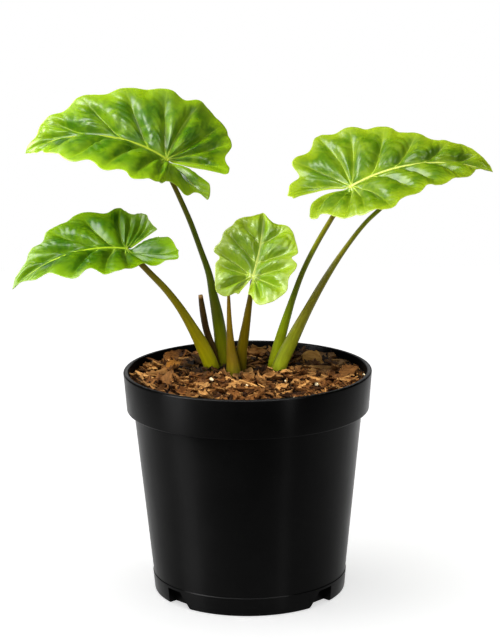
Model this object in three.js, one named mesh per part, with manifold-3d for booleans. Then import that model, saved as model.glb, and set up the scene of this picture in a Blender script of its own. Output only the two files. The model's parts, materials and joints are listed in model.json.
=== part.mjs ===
// A potted alocasia: five arrow-shaped leaves on long stalks, a rolled new shoot and a cut stub,
// standing in a bark mix in a plain 200 mm plastic nursery pot.
// Millimetres, +Z up. The origin is on the floor, on the pot's axis, and -Y is the front.
import * as THREE from 'three';
import { mergeVertices } from 'three/addons/utils/BufferGeometryUtils.js';
import Module from 'manifold-3d';

const wasm = await Module();
wasm.setup();

// ---- Driving dimensions -------------------------------------------------------------------------

const gap = 0.3; // clearance between two pieces that touch

const pot = {
  rimRadius: 100, height: 182, lipWidth: 4, lipRound: 1.2,
  bandHeight: 31, bandFootRadius: 97.6, bandStepHeight: 1.6,
  wallTopRadius: 92.1, footLineRadius: 79.1, footLineHeight: 15.5, footLineDepth: 0.5,
  footRadius: 77.8, footRound: 1.5, wall: 1.8, floor: 2.5, innerDraft: 0.4, sides: 48,
};

const notch = {
  middleAngle: 46.5, halfWidth: 12.9, shortTop: -2, height: 13,
  outerReach: 86, depthRadius: 69.5, liner: 2,
  drainWidth: 8, drainHeight: 5, drainBase: 5, drainLength: 12, drainOffset: 2,
};

const mix = {
  rimHeight: 174.5, crown: 2.5, roughness: 1.1, rings: [0.86, 0.6, 0.3],
  chips: 26, slivers: 22, grains: 16, seed: 20,
};

const blade = { thickness: 1.0, acrossSteps: 4, outSteps: [0, 0.45, 0.78, 1] };
const relief = {
  pucker: 0.07, // height of the raised panel between two veins, as a share of its width
  waviness: 0.005, // extra lift of the margin between two veins, as a share of that width
  dip: 0.16, // how far the margin comes in between two veins, as a share of their distance
  deepestDip: 3.8,
  lobeEdge: 0.14, // how much further the first vein arches than the edge beside it
  veinArch: 0.09, // how far a side vein arches, as a share of its length
};
const rib = { sides: 5, steps: 7, sink: 0.5, endShare: 0.92, collar: 1.4 };
const stalk = { sides: 9, steps: 15, endTaper: 0.55 };

// Each leaf: its junction is where blade, midrib and stalk meet. Angles are in degrees. The blade
// points towards heading, climbs at the junction and droops towards the tip. Each half folds up
// from the midrib and curls back down, and the lobe values say how that changes over the basal
// lobes, in degrees for a whole blade's length. left and right list where the side veins reach the
// margin, as [along the midrib, out from it], from the basal lobe to the tip, and veinRoots are
// where the later ones leave the midrib. sinusBow is how far the edge from the junction to each
// basal lobe's tip bulges, left and right, as a share of its length.
const leaves = {
  top_left: {
    junction: [-63, 14, 350], length: 118, heading: 182, climb: 36, droop: 65, sweep: -3,
    roll: -23, twist: -15, foldLeft: 27, foldRight: 25, curlLeft: 23, curlRight: 1.5,
    lobeDroop: -55, lobeTwist: 13, lobeFoldLeft: -108, lobeFoldRight: -39,
    ribRadius: 2.1, veinRoots: [16, 38, 66, 85], sinusBow: [0.38, 0.02],
    left: [[-42, 18], [-35, 23], [-26, 34], [0, 62], [20, 70], [45, 64], [77, 46], [101, 20], [111, 7]],
    right: [[-53, 15], [-50, 44], [-42, 61], [1, 68], [23, 59], [48, 45], [73, 34], [95, 21], [103, 11]],
    colour: 0x9cb82c,
  },
  low_left: {
    junction: [-95, -13, 283.5], length: 98, heading: 193, climb: 10, droop: 54, sweep: -2,
    roll: -14, twist: -6, foldLeft: 14, foldRight: 15, curlLeft: 16, curlRight: 10,
    lobeDroop: -120, lobeTwist: 8, lobeFoldLeft: 0, lobeFoldRight: 0,
    ribRadius: 2.0, veinRoots: [8, 20, 38, 57], sinusBow: [0.12, 0],
    left: [[-36, 4], [-34, 33], [-30, 43], [-14, 46], [4, 51], [27, 54], [51, 47], [76, 22], [88, 7]],
    right: [[-33, 16], [-31, 24], [-28, 43], [-18, 48], [1, 59], [28, 48], [50, 38], [71, 22], [77, 13]],
    colour: 0x6f9a2a,
  },
  right: {
    junction: [84.5, 18, 326.5], length: 118, heading: 6, climb: 29, droop: 49, sweep: -2,
    roll: 17, twist: 13, foldLeft: 14, foldRight: 16, curlLeft: 5, curlRight: 15,
    lobeDroop: -15, lobeTwist: 10, lobeFoldLeft: 35, lobeFoldRight: -39,
    ribRadius: 2.1, veinRoots: [17.5, 36.5, 60, 82], sinusBow: [-0.08, 0.38],
    left: [[-46, 19], [-44, 28], [-32, 54], [0, 76], [21, 65], [41, 50], [65, 31], [89, 21], [103, 14]],
    right: [[-40, 16], [-29, 24], [-20, 46], [-2, 66], [15, 70], [40, 59], [65, 45], [92, 27], [107, 5]],
    colour: 0x86a83a,
  },
  rear: {
    junction: [125, 58, 317], length: 88, heading: 78, climb: 2, droop: 22, sweep: 0,
    roll: -2, twist: 5, foldLeft: 16, foldRight: 21, curlLeft: 8, curlRight: 4,
    lobeDroop: -33, lobeTwist: 5, lobeFoldLeft: 0, lobeFoldRight: 0,
    ribRadius: 1.8, veinRoots: [13, 27, 45, 61], sinusBow: [0.1, 0.2],
    left: [[-32, 21], [-30, 29], [-21, 48], [0, 53], [16, 47], [31, 37], [48, 23], [66, 15], [76, 10]],
    right: [[-31, 18], [-24, 26], [-16, 42], [-1, 49], [11, 51], [31, 43], [49, 33], [69, 19], [80, 5]],
    colour: 0x7ea236,
  },
  young: {
    junction: [5, -14, 260.5], length: 63.5, heading: 69, climb: 45, droop: 5, sweep: 20,
    roll: 16, twist: 2, foldLeft: 20, foldRight: 15, curlLeft: 10, curlRight: 15,
    lobeDroop: 11, lobeTwist: 2, lobeFoldLeft: 0, lobeFoldRight: 0,
    ribRadius: 1.2, veinRoots: [12.5, 30.5], sinusBow: [0, 0],
    left: [[-19, 9], [-21.5, 25], [-1, 31], [11.5, 35], [30, 33], [50.5, 17]],
    right: [[-20, 5], [-24, 14], [-10, 30], [15.5, 31], [28, 31], [49.5, 23.5]],
    colour: 0xa9c05a,
  },
};

// Each stem's route from inside the mix upwards, as [x, y, z, radius]. The one of a leaf ends at
// the leaf's junction.
const stems = {
  top_left_stalk: {
    leaf: 'top_left', topRadius: 1.9, colour: 0x59612a,
    route: [[-20, 37, 132, 4.4], [-20.6, 37, 160, 5.6], [-21, 36.8, 180, 5.7], [-21.7, 36, 198, 5.4],
      [-24.2, 34.5, 218, 4.8], [-27.6, 32.6, 237, 3.6], [-30.6, 31, 254, 2.8], [-37, 27.6, 274.5, 2.3],
      [-45, 23.7, 298.5, 2.2], [-54.6, 19.3, 322.5, 2.0], [-60.2, 16.5, 336, 1.9]],
  },
  low_left_stalk: {
    leaf: 'low_left', topRadius: 2.1, colour: 0x7a6a2c,
    route: [[-25, 21, 132, 4.4], [-27, 20.6, 160, 5.8], [-29.2, 20.2, 178, 6.2], [-36, 18.1, 196, 5.7],
      [-44.5, 14.2, 213.5, 4.3], [-54, 9.2, 231, 3.3], [-65, 3.3, 247.5, 2.8], [-77, -2.6, 262, 2.5],
      [-86, -8.4, 273, 2.3]],
  },
  right_stalk: {
    leaf: 'right', topRadius: 1.9, colour: 0x86a032,
    route: [[20.6, 30.4, 132, 4.2], [21.2, 30.2, 160, 5.2], [22, 30, 178, 5.3], [26.6, 29.3, 198.5, 4.4],
      [30, 28.7, 210.5, 3.8], [37.5, 27.1, 234.5, 2.6], [46, 25.2, 257.5, 2.2], [57, 23, 280, 2.1],
      [69, 20.8, 301, 2.0], [77, 19.4, 314.5, 1.9]],
  },
  rear_stalk: {
    leaf: 'rear', topRadius: 1.8, colour: 0x9aa45c,
    route: [[22, 16, 132, 4.4], [23.4, 16.4, 160, 5.8], [25.4, 17, 178, 6.1], [36.7, 20, 201.5, 5.3],
      [49.8, 25.4, 225.5, 3.7], [64, 32, 249, 2.8], [80, 39.8, 271.5, 2.0], [97.5, 47.7, 292, 1.8],
      [111, 52.8, 303.5, 1.8]],
  },
  young_stalk: {
    leaf: 'young', topRadius: 1.5, colour: 0x84803c,
    route: [[-5.6, 8, 140, 3.4], [-5.6, 7.2, 160, 4.4], [-5.5, 6.6, 177, 4.4], [-4.4, 3.8, 197, 4.3],
      [-2.6, 1.4, 208, 4.0], [-0.9, -1, 218.5, 3.4], [0.8, -4, 230, 2.8], [2.3, -7.2, 240, 2.2],
      [3.6, -10.2, 249.5, 1.8]],
  },
  new_shoot: {
    colour: 0x7f7a30,
    route: [[-9.4, -6.6, 140, 4.6], [-10.4, -6, 160, 6.1], [-11, -5.2, 177, 6.3], [-11.8, -4.2, 188.5, 5.2],
      [-12.9, -3.8, 197, 4.0], [-13.6, -3.9, 207, 3.1], [-14.2, -4.1, 223, 2.1], [-14.5, -4.3, 240, 1.4],
      [-14.5, -4.6, 254, 0.5]],
  },
  cut_stub: {
    colour: 0x4a3620,
    route: [[-26, 29, 150, 2.4], [-26, 29, 168, 2.7], [-26.2, 29.2, 180, 2.7], [-28, 30, 191, 2.8],
      [-31.2, 31.2, 200, 2.8], [-33.6, 32, 208, 2.8], [-35.6, 32.8, 219, 2.7], [-37, 33, 229, 2.3],
      [-37.8, 33, 236, 1.8]],
  },
};

const colours = { pot: 0x0d0d0e, mix: 0x5b3a22 };

// ---- Solids and meshes --------------------------------------------------------------------------

// Merges a geometry's shared vertices, drops flat triangles and turns the faces outwards.
function solidFrom(geometry) {
  const bare = geometry.clone();
  for (const name of Object.keys(bare.attributes)) {
    if (name !== 'position') bare.deleteAttribute(name);
  }
  const merged = mergeVertices(bare, 1e-4);
  const points = merged.attributes.position.array;
  const corners = [];
  let volume = 0;
  for (let i = 0; i < merged.index.count; i += 3) {
    const [a, b, c] = [0, 1, 2].map((k) => merged.index.getX(i + k));
    if (a === b || b === c || c === a) continue;
    corners.push(a, b, c);
    const [pa, pb, pc] = [a, b, c].map((k) => new THREE.Vector3().fromArray(points, 3 * k));
    volume += pa.dot(pb.cross(pc)) / 6;
  }
  if (volume < 0) {
    for (let i = 0; i < corners.length; i += 3) {
      [corners[i + 1], corners[i + 2]] = [corners[i + 2], corners[i + 1]];
    }
  }
  return new wasm.Manifold(new wasm.Mesh({
    numProp: 3,
    vertProperties: Float32Array.from(points),
    triVerts: Uint32Array.from(corners),
  }));
}

function largestBody(solid) {
  const bodies = solid.decompose();
  return bodies.reduce((best, body) => (body.volume() > best.volume() ? body : best));
}

function meshFrom(name, solid, colour, roughness) {
  const { vertProperties, triVerts } = solid.getMesh();
  const geometry = new THREE.BufferGeometry();
  geometry.setAttribute('position', new THREE.BufferAttribute(Float32Array.from(vertProperties), 3));
  geometry.setIndex(Array.from(triVerts));
  geometry.computeVertexNormals();
  const mesh = new THREE.Mesh(
    geometry,
    new THREE.MeshStandardMaterial({ color: colour, roughness, metalness: 0 }),
  );
  mesh.name = name;
  return mesh;
}

// A solid of revolution about Z through [radius, height] points.
function revolved(profile, sides) {
  const geometry = new THREE.LatheGeometry(profile.map(([r, z]) => new THREE.Vector2(r, z)), sides);
  return solidFrom(geometry.rotateX(Math.PI / 2));
}

// A closed solid through rings of equal size, each a list of Vector3, with flat end caps.
function lofted(rings) {
  const size = rings[0].length;
  const centre = (ring) => ring.reduce((sum, p) => sum.add(p), new THREE.Vector3()).divideScalar(size);
  const points = [...rings.flat(), centre(rings[0]), centre(rings.at(-1))];
  const [first, last] = [points.length - 2, points.length - 1];
  const index = [];
  for (let j = 0; j < size; j++) {
    const next = (j + 1) % size;
    for (let i = 0; i + 1 < rings.length; i++) {
      const [a, b] = [i * size + j, i * size + next];
      index.push(a, b, b + size, a, b + size, a + size);
    }
    const top = (rings.length - 1) * size;
    index.push(first, next, j, last, top + j, top + next);
  }
  const geometry = new THREE.BufferGeometry().setFromPoints(points);
  geometry.setIndex(index);
  return solidFrom(geometry);
}

// ---- Pot ----------------------------------------------------------------------------------------

const bandFootHeight = pot.height - pot.bandHeight;
const wallSlope = (pot.wallTopRadius - pot.footLineRadius) / (bandFootHeight - pot.footLineHeight);
const wallRadiusAt = (z) => pot.footLineRadius + wallSlope * (z - pot.footLineHeight);
const innerWallRadiusAt = (z) => wallRadiusAt(z) - pot.wall;
const innerBandRadius = pot.rimRadius - pot.lipWidth;
const shoulderHeight = bandFootHeight - pot.bandStepHeight;

function outerProfile() {
  return [
    [0, 0], [pot.footRadius - pot.footRound, 0], [pot.footRadius, pot.footRound],
    [pot.footLineRadius, pot.footLineHeight - pot.footLineDepth],
    [pot.footLineRadius - pot.footLineDepth, pot.footLineHeight],
    [wallRadiusAt(shoulderHeight), shoulderHeight],
    [pot.bandFootRadius - pot.lipRound, bandFootHeight - pot.bandStepHeight / 2],
    [pot.bandFootRadius, bandFootHeight + pot.lipRound / 2],
    [pot.rimRadius, pot.height - pot.lipRound], [pot.rimRadius - pot.lipRound, pot.height],
  ];
}

function innerProfile(inset) {
  return [
    [innerWallRadiusAt(pot.floor) - inset, pot.floor + inset],
    [innerWallRadiusAt(shoulderHeight) - inset, shoulderHeight],
    [innerBandRadius - inset - pot.innerDraft, bandFootHeight + pot.wall],
  ];
}

// The trapezoid of a foot notch, cut radially inwards, with its upright side away from the front.
function notchBlock(grow, innerRadius) {
  const { halfWidth, shortTop, height } = notch;
  const outline = new THREE.Shape([
    new THREE.Vector2(-halfWidth - grow, -1), new THREE.Vector2(halfWidth + grow, -1),
    new THREE.Vector2(halfWidth + grow, height + grow), new THREE.Vector2(shortTop - grow, height + grow),
  ]);
  const block = new THREE.ExtrudeGeometry(outline, {
    depth: notch.outerReach - innerRadius, bevelEnabled: false,
  });
  return block.rotateX(Math.PI / 2).translate(0, -innerRadius, 0);
}

function drainBlock() {
  const block = new THREE.BoxGeometry(notch.drainWidth, notch.drainLength, notch.drainHeight);
  return block.translate(notch.drainOffset, -notch.depthRadius, notch.drainBase + notch.drainHeight / 2);
}

// Copies a solid made for one notch to all four: mirrored to the left, and turned to the back.
function atNotches(makeGeometry) {
  const copies = [];
  for (const side of [1, -1]) {
    for (const turn of [0, Math.PI]) {
      const geometry = makeGeometry().rotateZ(THREE.MathUtils.degToRad(notch.middleAngle));
      copies.push(solidFrom(geometry.scale(side, 1, 1).rotateZ(turn)));
    }
  }
  return copies;
}

function buildPot() {
  const outer = outerProfile();
  const lip = [[innerBandRadius + pot.lipRound, pot.height], [innerBandRadius, pot.height - pot.lipRound]];
  let solid = revolved([...outer, ...lip, ...innerProfile(0).reverse(), [0, pot.floor]], pot.sides);
  const filled = revolved([...outer, [0, pot.height]], pot.sides);
  const liners = atNotches(() => notchBlock(notch.liner, notch.depthRadius - notch.liner));
  for (const liner of liners) solid = solid.add(liner.intersect(filled));
  for (const pocket of atNotches(() => notchBlock(0, notch.depthRadius))) solid = solid.subtract(pocket);
  for (const drain of atNotches(drainBlock)) solid = solid.subtract(drain);
  return solid;
}

// ---- Stems --------------------------------------------------------------------------------------

function stemRoute({ leaf, topRadius, route }) {
  return leaf ? [...route, [...leaves[leaf].junction, topRadius]] : route;
}

// A round stem along its route, with grow added to its radius.
function stemSolid(stem, grow) {
  const route = stemRoute(stem);
  const path = new THREE.CatmullRomCurve3(route.map(([x, y, z]) => new THREE.Vector3(x, y, z)));
  const frames = path.computeFrenetFrames(stalk.steps, false);
  const rings = [];
  for (let i = 0; i <= stalk.steps; i++) {
    const share = path.getUtoTmapping(i / stalk.steps) * (route.length - 1);
    const k = Math.min(Math.floor(share), route.length - 2);
    const radius = THREE.MathUtils.lerp(route[k][3], route[k + 1][3], share - k) + grow;
    const middle = path.getPointAt(i / stalk.steps);
    const taper = i === 0 ? stalk.endTaper : 1;
    rings.push(Array.from({ length: stalk.sides }, (_, j) => {
      const angle = (2 * Math.PI * j) / stalk.sides;
      return middle.clone()
        .addScaledVector(frames.normals[i], Math.cos(angle) * radius * taper)
        .addScaledVector(frames.binormals[i], Math.sin(angle) * radius * taper);
    }));
  }
  if (grow > 0) rings[0].forEach((point) => { point.z -= grow; });
  return lofted(rings);
}

// ---- Leaf blades --------------------------------------------------------------------------------

const radians = THREE.MathUtils.degToRad;

// Walks the midrib in small steps both ways from the junction and returns a function that gives the
// midrib's point and the blade's frame there: across (to the left) and up.
function midribOf(leaf) {
  const step = leaf.length / 100;
  const direction = (x) => {
    const share = x / leaf.length;
    const pitch = radians(leaf.climb - (x < 0 ? leaf.lobeDroop : leaf.droop) * share);
    const turn = radians(leaf.heading + (x < 0 ? 0 : leaf.sweep) * share);
    return {
      along: new THREE.Vector3(
        Math.cos(pitch) * Math.cos(turn), Math.cos(pitch) * Math.sin(turn), Math.sin(pitch),
      ),
      level: new THREE.Vector3(-Math.sin(turn), Math.cos(turn), 0),
    };
  };
  const walk = (sign) => {
    const points = [new THREE.Vector3(...leaf.junction)];
    for (let i = 0; i < 105; i++) {
      const { along } = direction(sign * step * (i + 0.5));
      points.push(points[i].clone().addScaledVector(along, sign * step));
    }
    return points;
  };
  const [ahead, behind] = [walk(1), walk(-1)];
  return (x) => {
    const points = x < 0 ? behind : ahead;
    const place = Math.abs(x) / step;
    const i = Math.floor(place);
    const { along, level } = direction(x);
    const normal = along.clone().cross(level);
    const roll = radians(leaf.roll + (x < 0 ? leaf.lobeTwist : leaf.twist) * (x / leaf.length));
    return {
      point: points[i].clone().lerp(points[i + 1], place - i),
      across: level.clone().multiplyScalar(Math.cos(roll)).addScaledVector(normal, Math.sin(roll)),
      up: normal.multiplyScalar(Math.cos(roll)).addScaledVector(level, -Math.sin(roll)),
    };
  };
}

// Gives the surface point at x along the midrib and y to its left, raised by lift: each half of
// the blade folds up from the midrib and curls back down towards its margin.
function surfaceOf(leaf) {
  const midrib = midribOf(leaf);
  return (x, y, lift) => {
    const { point, across, up } = midrib(x);
    const side = y < 0 ? -1 : 1;
    const out = Math.abs(y);
    const lobeFold = (y < 0 ? leaf.lobeFoldRight : leaf.lobeFoldLeft) * Math.max(0, -x / leaf.length);
    const fold = radians((y < 0 ? leaf.foldRight : leaf.foldLeft) + lobeFold);
    const bend = radians(y < 0 ? leaf.curlRight : leaf.curlLeft) / (0.5 * leaf.length);
    const slope = fold - bend * out;
    const sideways = (Math.sin(fold) - Math.sin(slope)) / bend;
    const rise = (Math.cos(slope) - Math.cos(fold)) / bend;
    return point
      .addScaledVector(across, side * (sideways - lift * Math.sin(slope)))
      .addScaledVector(up, rise + lift * Math.cos(slope));
  };
}

// The flat plan of one half: side veins from root to margin, and the waved margin between them.
// All of it is in plan coordinates: x along the midrib and y out from it.
function halfPlan(leaf, ends, sinusBow) {
  const firstRooted = ends.length - leaf.veinRoots.length;
  const roots = ends.map((_, k) => new THREE.Vector2(leaf.veinRoots[k - firstRooted] ?? 0, 0));
  const tips = ends.map(([x, y]) => new THREE.Vector2(x, y));
  const tip = new THREE.Vector2(leaf.length, 0);
  const arched = (root, end, arch) => {
    const chord = end.clone().sub(root);
    const middle = root.clone().addScaledVector(chord, 0.5);
    middle.add(new THREE.Vector2(-chord.y, chord.x).multiplyScalar(arch));
    return new THREE.QuadraticBezierCurve(root, middle, end);
  };
  const sinus = arched(roots[0], tips[0], sinusBow);
  const arch = (k) => (k === 0 ? sinusBow - relief.lobeEdge : -relief.veinArch);
  const veins = [...tips.map((end, k) => arched(roots[k], end, arch(k))), null];
  const marginPoints = [];
  [...tips, tip].forEach((end, k, all) => {
    if (k > 0) {
      const chord = end.clone().sub(all[k - 1]);
      const depth = Math.min(relief.deepestDip, relief.dip * chord.length());
      const inward = new THREE.Vector2(-chord.y, chord.x).setLength(depth);
      if (inward.dot(all[k - 1]) > 0) inward.negate();
      marginPoints.push(all[k - 1].clone().addScaledVector(chord, 0.5).add(inward));
    }
    marginPoints.push(end);
  });
  const margin = new THREE.SplineCurve(marginPoints);
  const veinPoint = (k, t) => (veins[k] ? veins[k].getPoint(t) : tip.clone());
  // Panel 0 lies between the sinus edge and the first vein, panel k between veins k - 1 and k.
  return {
    panels: tips.length + 1,
    place(panel, a, t) {
      if (panel === 0) return sinus.getPoint(t).lerp(veinPoint(0, t), a);
      const flat = veinPoint(panel - 1, t).lerp(veinPoint(panel, t), a);
      const edge = margin.getPoint((2 * (panel - 1 + a)) / (marginPoints.length - 1));
      const chord = veinPoint(panel - 1, 1).lerp(veinPoint(panel, 1), a);
      return flat.addScaledVector(edge.sub(chord), t ** 3);
    },
    lift(panel, a, t) {
      const from = panel === 0 ? sinus.getPoint(t) : veinPoint(panel - 1, t);
      const width = from.distanceTo(veinPoint(panel, t));
      const across = Math.sin(Math.PI * a) ** 0.8;
      const growth = THREE.MathUtils.smoothstep(t, 0, 0.4);
      return width * across * growth * (relief.pucker + relief.waviness * t ** 3);
    },
  };
}

// The blade as a thin closed solid: one triangulated middle surface, moved out along its normals
// to both faces.
function bladeSolid(leaf, thickness) {
  const surface = surfaceOf(leaf);
  const { acrossSteps, outSteps } = blade;
  const places = [];
  for (const [side, ends, bow] of [[1, leaf.left, leaf.sinusBow[0]], [-1, leaf.right, leaf.sinusBow[1]]]) {
    const half = halfPlan(leaf, ends, bow);
    for (let panel = 0; panel < half.panels; panel++) {
      const corner = (i, j) => {
        const [a, t] = [i / acrossSteps, outSteps[j]];
        const plan = half.place(panel, a, t);
        return surface(plan.x, side * plan.y, half.lift(panel, a, t));
      };
      for (let i = 0; i < acrossSteps; i++) {
        for (let j = 0; j + 1 < outSteps.length; j++) {
          const [p, q, r, s] = [corner(i, j), corner(i, j + 1), corner(i + 1, j + 1), corner(i + 1, j)];
          places.push(...(side > 0 ? [p, r, q, p, s, r] : [p, q, r, p, r, s]));
        }
      }
    }
  }
  const middle = mergeVertices(new THREE.BufferGeometry().setFromPoints(places), 1e-3);
  const faces = [];
  for (let i = 0; i < middle.index.count; i += 3) {
    const face = [0, 1, 2].map((k) => middle.index.getX(i + k));
    if (new Set(face).size === 3) faces.push(face);
  }
  middle.setIndex(faces.flat());
  middle.computeVertexNormals();
  const count = middle.attributes.position.count;
  const points = [];
  for (const side of [0.5, -0.5]) {
    for (let i = 0; i < count; i++) {
      const normal = new THREE.Vector3().fromBufferAttribute(middle.attributes.normal, i);
      const point = new THREE.Vector3().fromBufferAttribute(middle.attributes.position, i);
      points.push(point.addScaledVector(normal, side * thickness));
    }
  }
  const index = [];
  const edges = new Set(faces.flatMap(([a, b, c]) => [`${a} ${b}`, `${b} ${c}`, `${c} ${a}`]));
  for (const [a, b, c] of faces) {
    index.push(a, b, c, count + a, count + c, count + b);
    for (const [from, to] of [[a, b], [b, c], [c, a]]) {
      if (edges.has(`${to} ${from}`)) continue;
      index.push(count + from, count + to, to, count + from, to, from);
    }
  }
  const shell = new THREE.BufferGeometry().setFromPoints(points);
  shell.setIndex(index);
  return solidFrom(shell);
}

// The thick midrib, which stands out under the blade and a little above it, with the swollen collar
// where it meets the stalk.
function ribSolid(leaf, grow) {
  const midrib = midribOf(leaf);
  const rings = [];
  for (let i = 0; i <= rib.steps; i++) {
    const share = i / rib.steps;
    const { point, across, up } = midrib(share * rib.endShare * leaf.length);
    const radius = leaf.ribRadius * (1 - 0.72 * share);
    const middle = point.addScaledVector(up, -rib.sink * radius);
    rings.push(Array.from({ length: rib.sides }, (_, j) => {
      const angle = (2 * Math.PI * (j + 0.5)) / rib.sides;
      return middle.clone()
        .addScaledVector(across, Math.cos(angle) * (radius + grow))
        .addScaledVector(up, Math.sin(angle) * (radius + grow));
    }));
  }
  const collar = new THREE.IcosahedronGeometry(rib.collar * leaf.ribRadius + 1.5 * grow, 1);
  const { point, up } = midrib(0);
  const seat = point.addScaledVector(up, -rib.sink * leaf.ribRadius);
  return lofted(rings).add(solidFrom(collar.translate(...seat.toArray())));
}

// ---- Potting mix --------------------------------------------------------------------------------

// A seeded stream of numbers from 0 to 1.
function seededRandom(seed) {
  let state = seed;
  return () => {
    state = (state + 0x6d2b79f5) | 0;
    let t = Math.imul(state ^ (state >>> 15), 1 | state);
    t = (t + Math.imul(t ^ (t >>> 7), 61 | t)) ^ t;
    return ((t ^ (t >>> 14)) >>> 0) / 4294967296;
  };
}

const innerRadiusAtMix = innerBandRadius - gap;

// Height of the mix's surface: a low mound with soft humps.
function mixHeight(x, y) {
  const share = Math.min(1, Math.hypot(x, y) / innerRadiusAtMix);
  const humps = Math.sin(x * 0.19 + 1) * Math.cos(y * 0.23) + 0.6 * Math.sin(x * 0.41 - y * 0.37);
  return mix.rimHeight + mix.crown * (1 - share * share) + mix.roughness * humps * (1 - share ** 6);
}

// The mix's body: the pot's inside, less the gap, under the humped surface.
function mixBody() {
  const rings = [];
  const ring = (radius, height) => Array.from({ length: pot.sides }, (_, j) => {
    const angle = (2 * Math.PI * j) / pot.sides;
    const [x, y] = [radius * Math.cos(angle), radius * Math.sin(angle)];
    return new THREE.Vector3(x, y, height ?? mixHeight(x, y));
  });
  for (const [radius, height] of innerProfile(gap)) rings.push(ring(radius, height));
  rings.push(ring(innerRadiusAtMix, undefined));
  for (const share of mix.rings) rings.push(ring(share * innerRadiusAtMix, undefined));
  return lofted(rings);
}

// Bark chips, slivers and perlite grains at random places, sunk about halfway into the surface.
function scatteredPieces() {
  const random = seededRandom(mix.seed);
  const between = (low, high) => low + (high - low) * random();
  const box = (...ranges) => new THREE.BoxGeometry(...ranges.map(([low, high]) => between(low, high)));
  const kinds = [
    { count: mix.chips, tilt: 0.45, make: () => box([9, 17], [5, 9], [3, 5]) },
    { count: mix.slivers, tilt: 0.22, make: () => box([16, 27], [2.6, 4], [2.4, 3.6]) },
    { count: mix.grains, tilt: 1.5, make: () => new THREE.OctahedronGeometry(between(1.9, 3.2)) },
  ];
  const pieces = [];
  for (const { count, make, tilt } of kinds) {
    for (let i = 0; i < count; i++) {
      const geometry = make();
      geometry.computeBoundingSphere();
      const reach = geometry.boundingSphere.radius;
      const radius = Math.sqrt(random()) * (innerRadiusAtMix - 1 - reach);
      const angle = between(0, 2 * Math.PI);
      const [x, y] = [radius * Math.cos(angle), radius * Math.sin(angle)];
      geometry.rotateX(between(-tilt, tilt)).rotateY(between(-tilt, tilt) * 0.7);
      geometry.rotateZ(between(0, 2 * Math.PI)).translate(x, y, mixHeight(x, y) + between(0, 0.8));
      pieces.push(solidFrom(geometry));
    }
  }
  return pieces;
}

function buildMix() {
  let solid = mixBody();
  for (const piece of scatteredPieces()) solid = solid.add(piece);
  const linerRadius = notch.depthRadius - notch.liner - gap;
  for (const liner of atNotches(() => notchBlock(notch.liner + gap, linerRadius))) {
    solid = solid.subtract(liner);
  }
  for (const stem of Object.values(stems)) solid = solid.subtract(stemSolid(stem, gap));
  return largestBody(solid);
}

// ---- The plant in its pot -----------------------------------------------------------------------

const plant = new THREE.Group();
plant.add(meshFrom('pot', buildPot(), colours.pot, 0.45));
plant.add(meshFrom('potting_mix', buildMix(), colours.mix, 0.9));
for (const [name, leaf] of Object.entries(leaves)) {
  const solid = bladeSolid(leaf, blade.thickness).add(ribSolid(leaf, 0));
  plant.add(meshFrom(`${name}_leaf`, solid, leaf.colour, 0.35));
}
for (const [name, stem] of Object.entries(stems)) {
  let solid = stemSolid(stem, 0);
  if (stem.leaf) {
    const leaf = leaves[stem.leaf];
    const clearance = bladeSolid(leaf, blade.thickness + 2 * gap).add(ribSolid(leaf, gap));
    solid = largestBody(solid.subtract(clearance));
  }
  plant.add(meshFrom(name, solid, stem.colour, 0.45));
}

export default plant;
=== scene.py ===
"""A potted alocasia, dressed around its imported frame: a plain black nursery pot, a bark mix, five
arrow-shaped leaves on long stalks, a rolled new shoot and a cut stub.

Lengths are millimetres and angles are degrees until a mesh is made. +Z is up, the origin is on the
floor under the pot's middle, and -Y is the front."""
import json
import math
import random

import bmesh
import bpy
import numpy as np
from mathutils import Matrix, Vector, noise

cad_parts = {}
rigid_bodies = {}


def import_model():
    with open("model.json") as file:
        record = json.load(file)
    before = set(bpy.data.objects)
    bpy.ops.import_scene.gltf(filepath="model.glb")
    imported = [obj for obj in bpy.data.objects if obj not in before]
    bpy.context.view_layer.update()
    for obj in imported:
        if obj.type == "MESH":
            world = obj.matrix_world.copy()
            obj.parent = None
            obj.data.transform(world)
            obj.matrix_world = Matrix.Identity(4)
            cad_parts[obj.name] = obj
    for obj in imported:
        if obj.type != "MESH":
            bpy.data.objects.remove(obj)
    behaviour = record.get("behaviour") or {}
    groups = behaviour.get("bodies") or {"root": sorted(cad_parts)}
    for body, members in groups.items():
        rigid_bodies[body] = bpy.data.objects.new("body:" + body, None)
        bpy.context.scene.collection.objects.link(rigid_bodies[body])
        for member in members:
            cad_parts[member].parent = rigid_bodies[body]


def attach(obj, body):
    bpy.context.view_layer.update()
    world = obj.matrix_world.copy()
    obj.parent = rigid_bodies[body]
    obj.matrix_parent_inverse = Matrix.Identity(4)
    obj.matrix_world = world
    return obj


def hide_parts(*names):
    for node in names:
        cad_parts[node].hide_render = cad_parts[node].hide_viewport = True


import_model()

MM = 0.001
FRONT = np.array([0.0, -1.0, 0.0])
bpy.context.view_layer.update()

# ---- Measures ------------------------------------------------------------------------------------

GAP = 0.3  # clearance between two pieces that touch

POT = {
    "rim_radius": 100, "height": 182, "lip_width": 4, "lip_round": 1.3, "inner_lip_round": 1.0,
    "band_height": 31, "band_foot_radius": 97.6, "band_foot_round": 1.3, "band_step_height": 1.6,
    "band_foot_slant": 1.0, "wall_top_radius": 92.1, "shoulder_round": 0.8,
    "foot_line_radius": 79.1, "foot_line_height": 15.5, "foot_line_depth": 0.5,
    "foot_line_round": 0.25, "foot_radius": 77.8, "foot_round": 1.6,
    "wall": 1.8, "floor": 2.5, "floor_round": 1.0, "inner_draft": 0.4, "sides": 160,
}

NOTCH = {
    "middle_angle": 46.5, "half_width": 12.9, "short_top": -2, "height": 13,
    "outer_reach": 86, "depth_radius": 69.5, "liner": 2,
    "drain_width": 8, "drain_height": 5, "drain_base": 5, "drain_length": 12, "drain_offset": 2,
}

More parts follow.
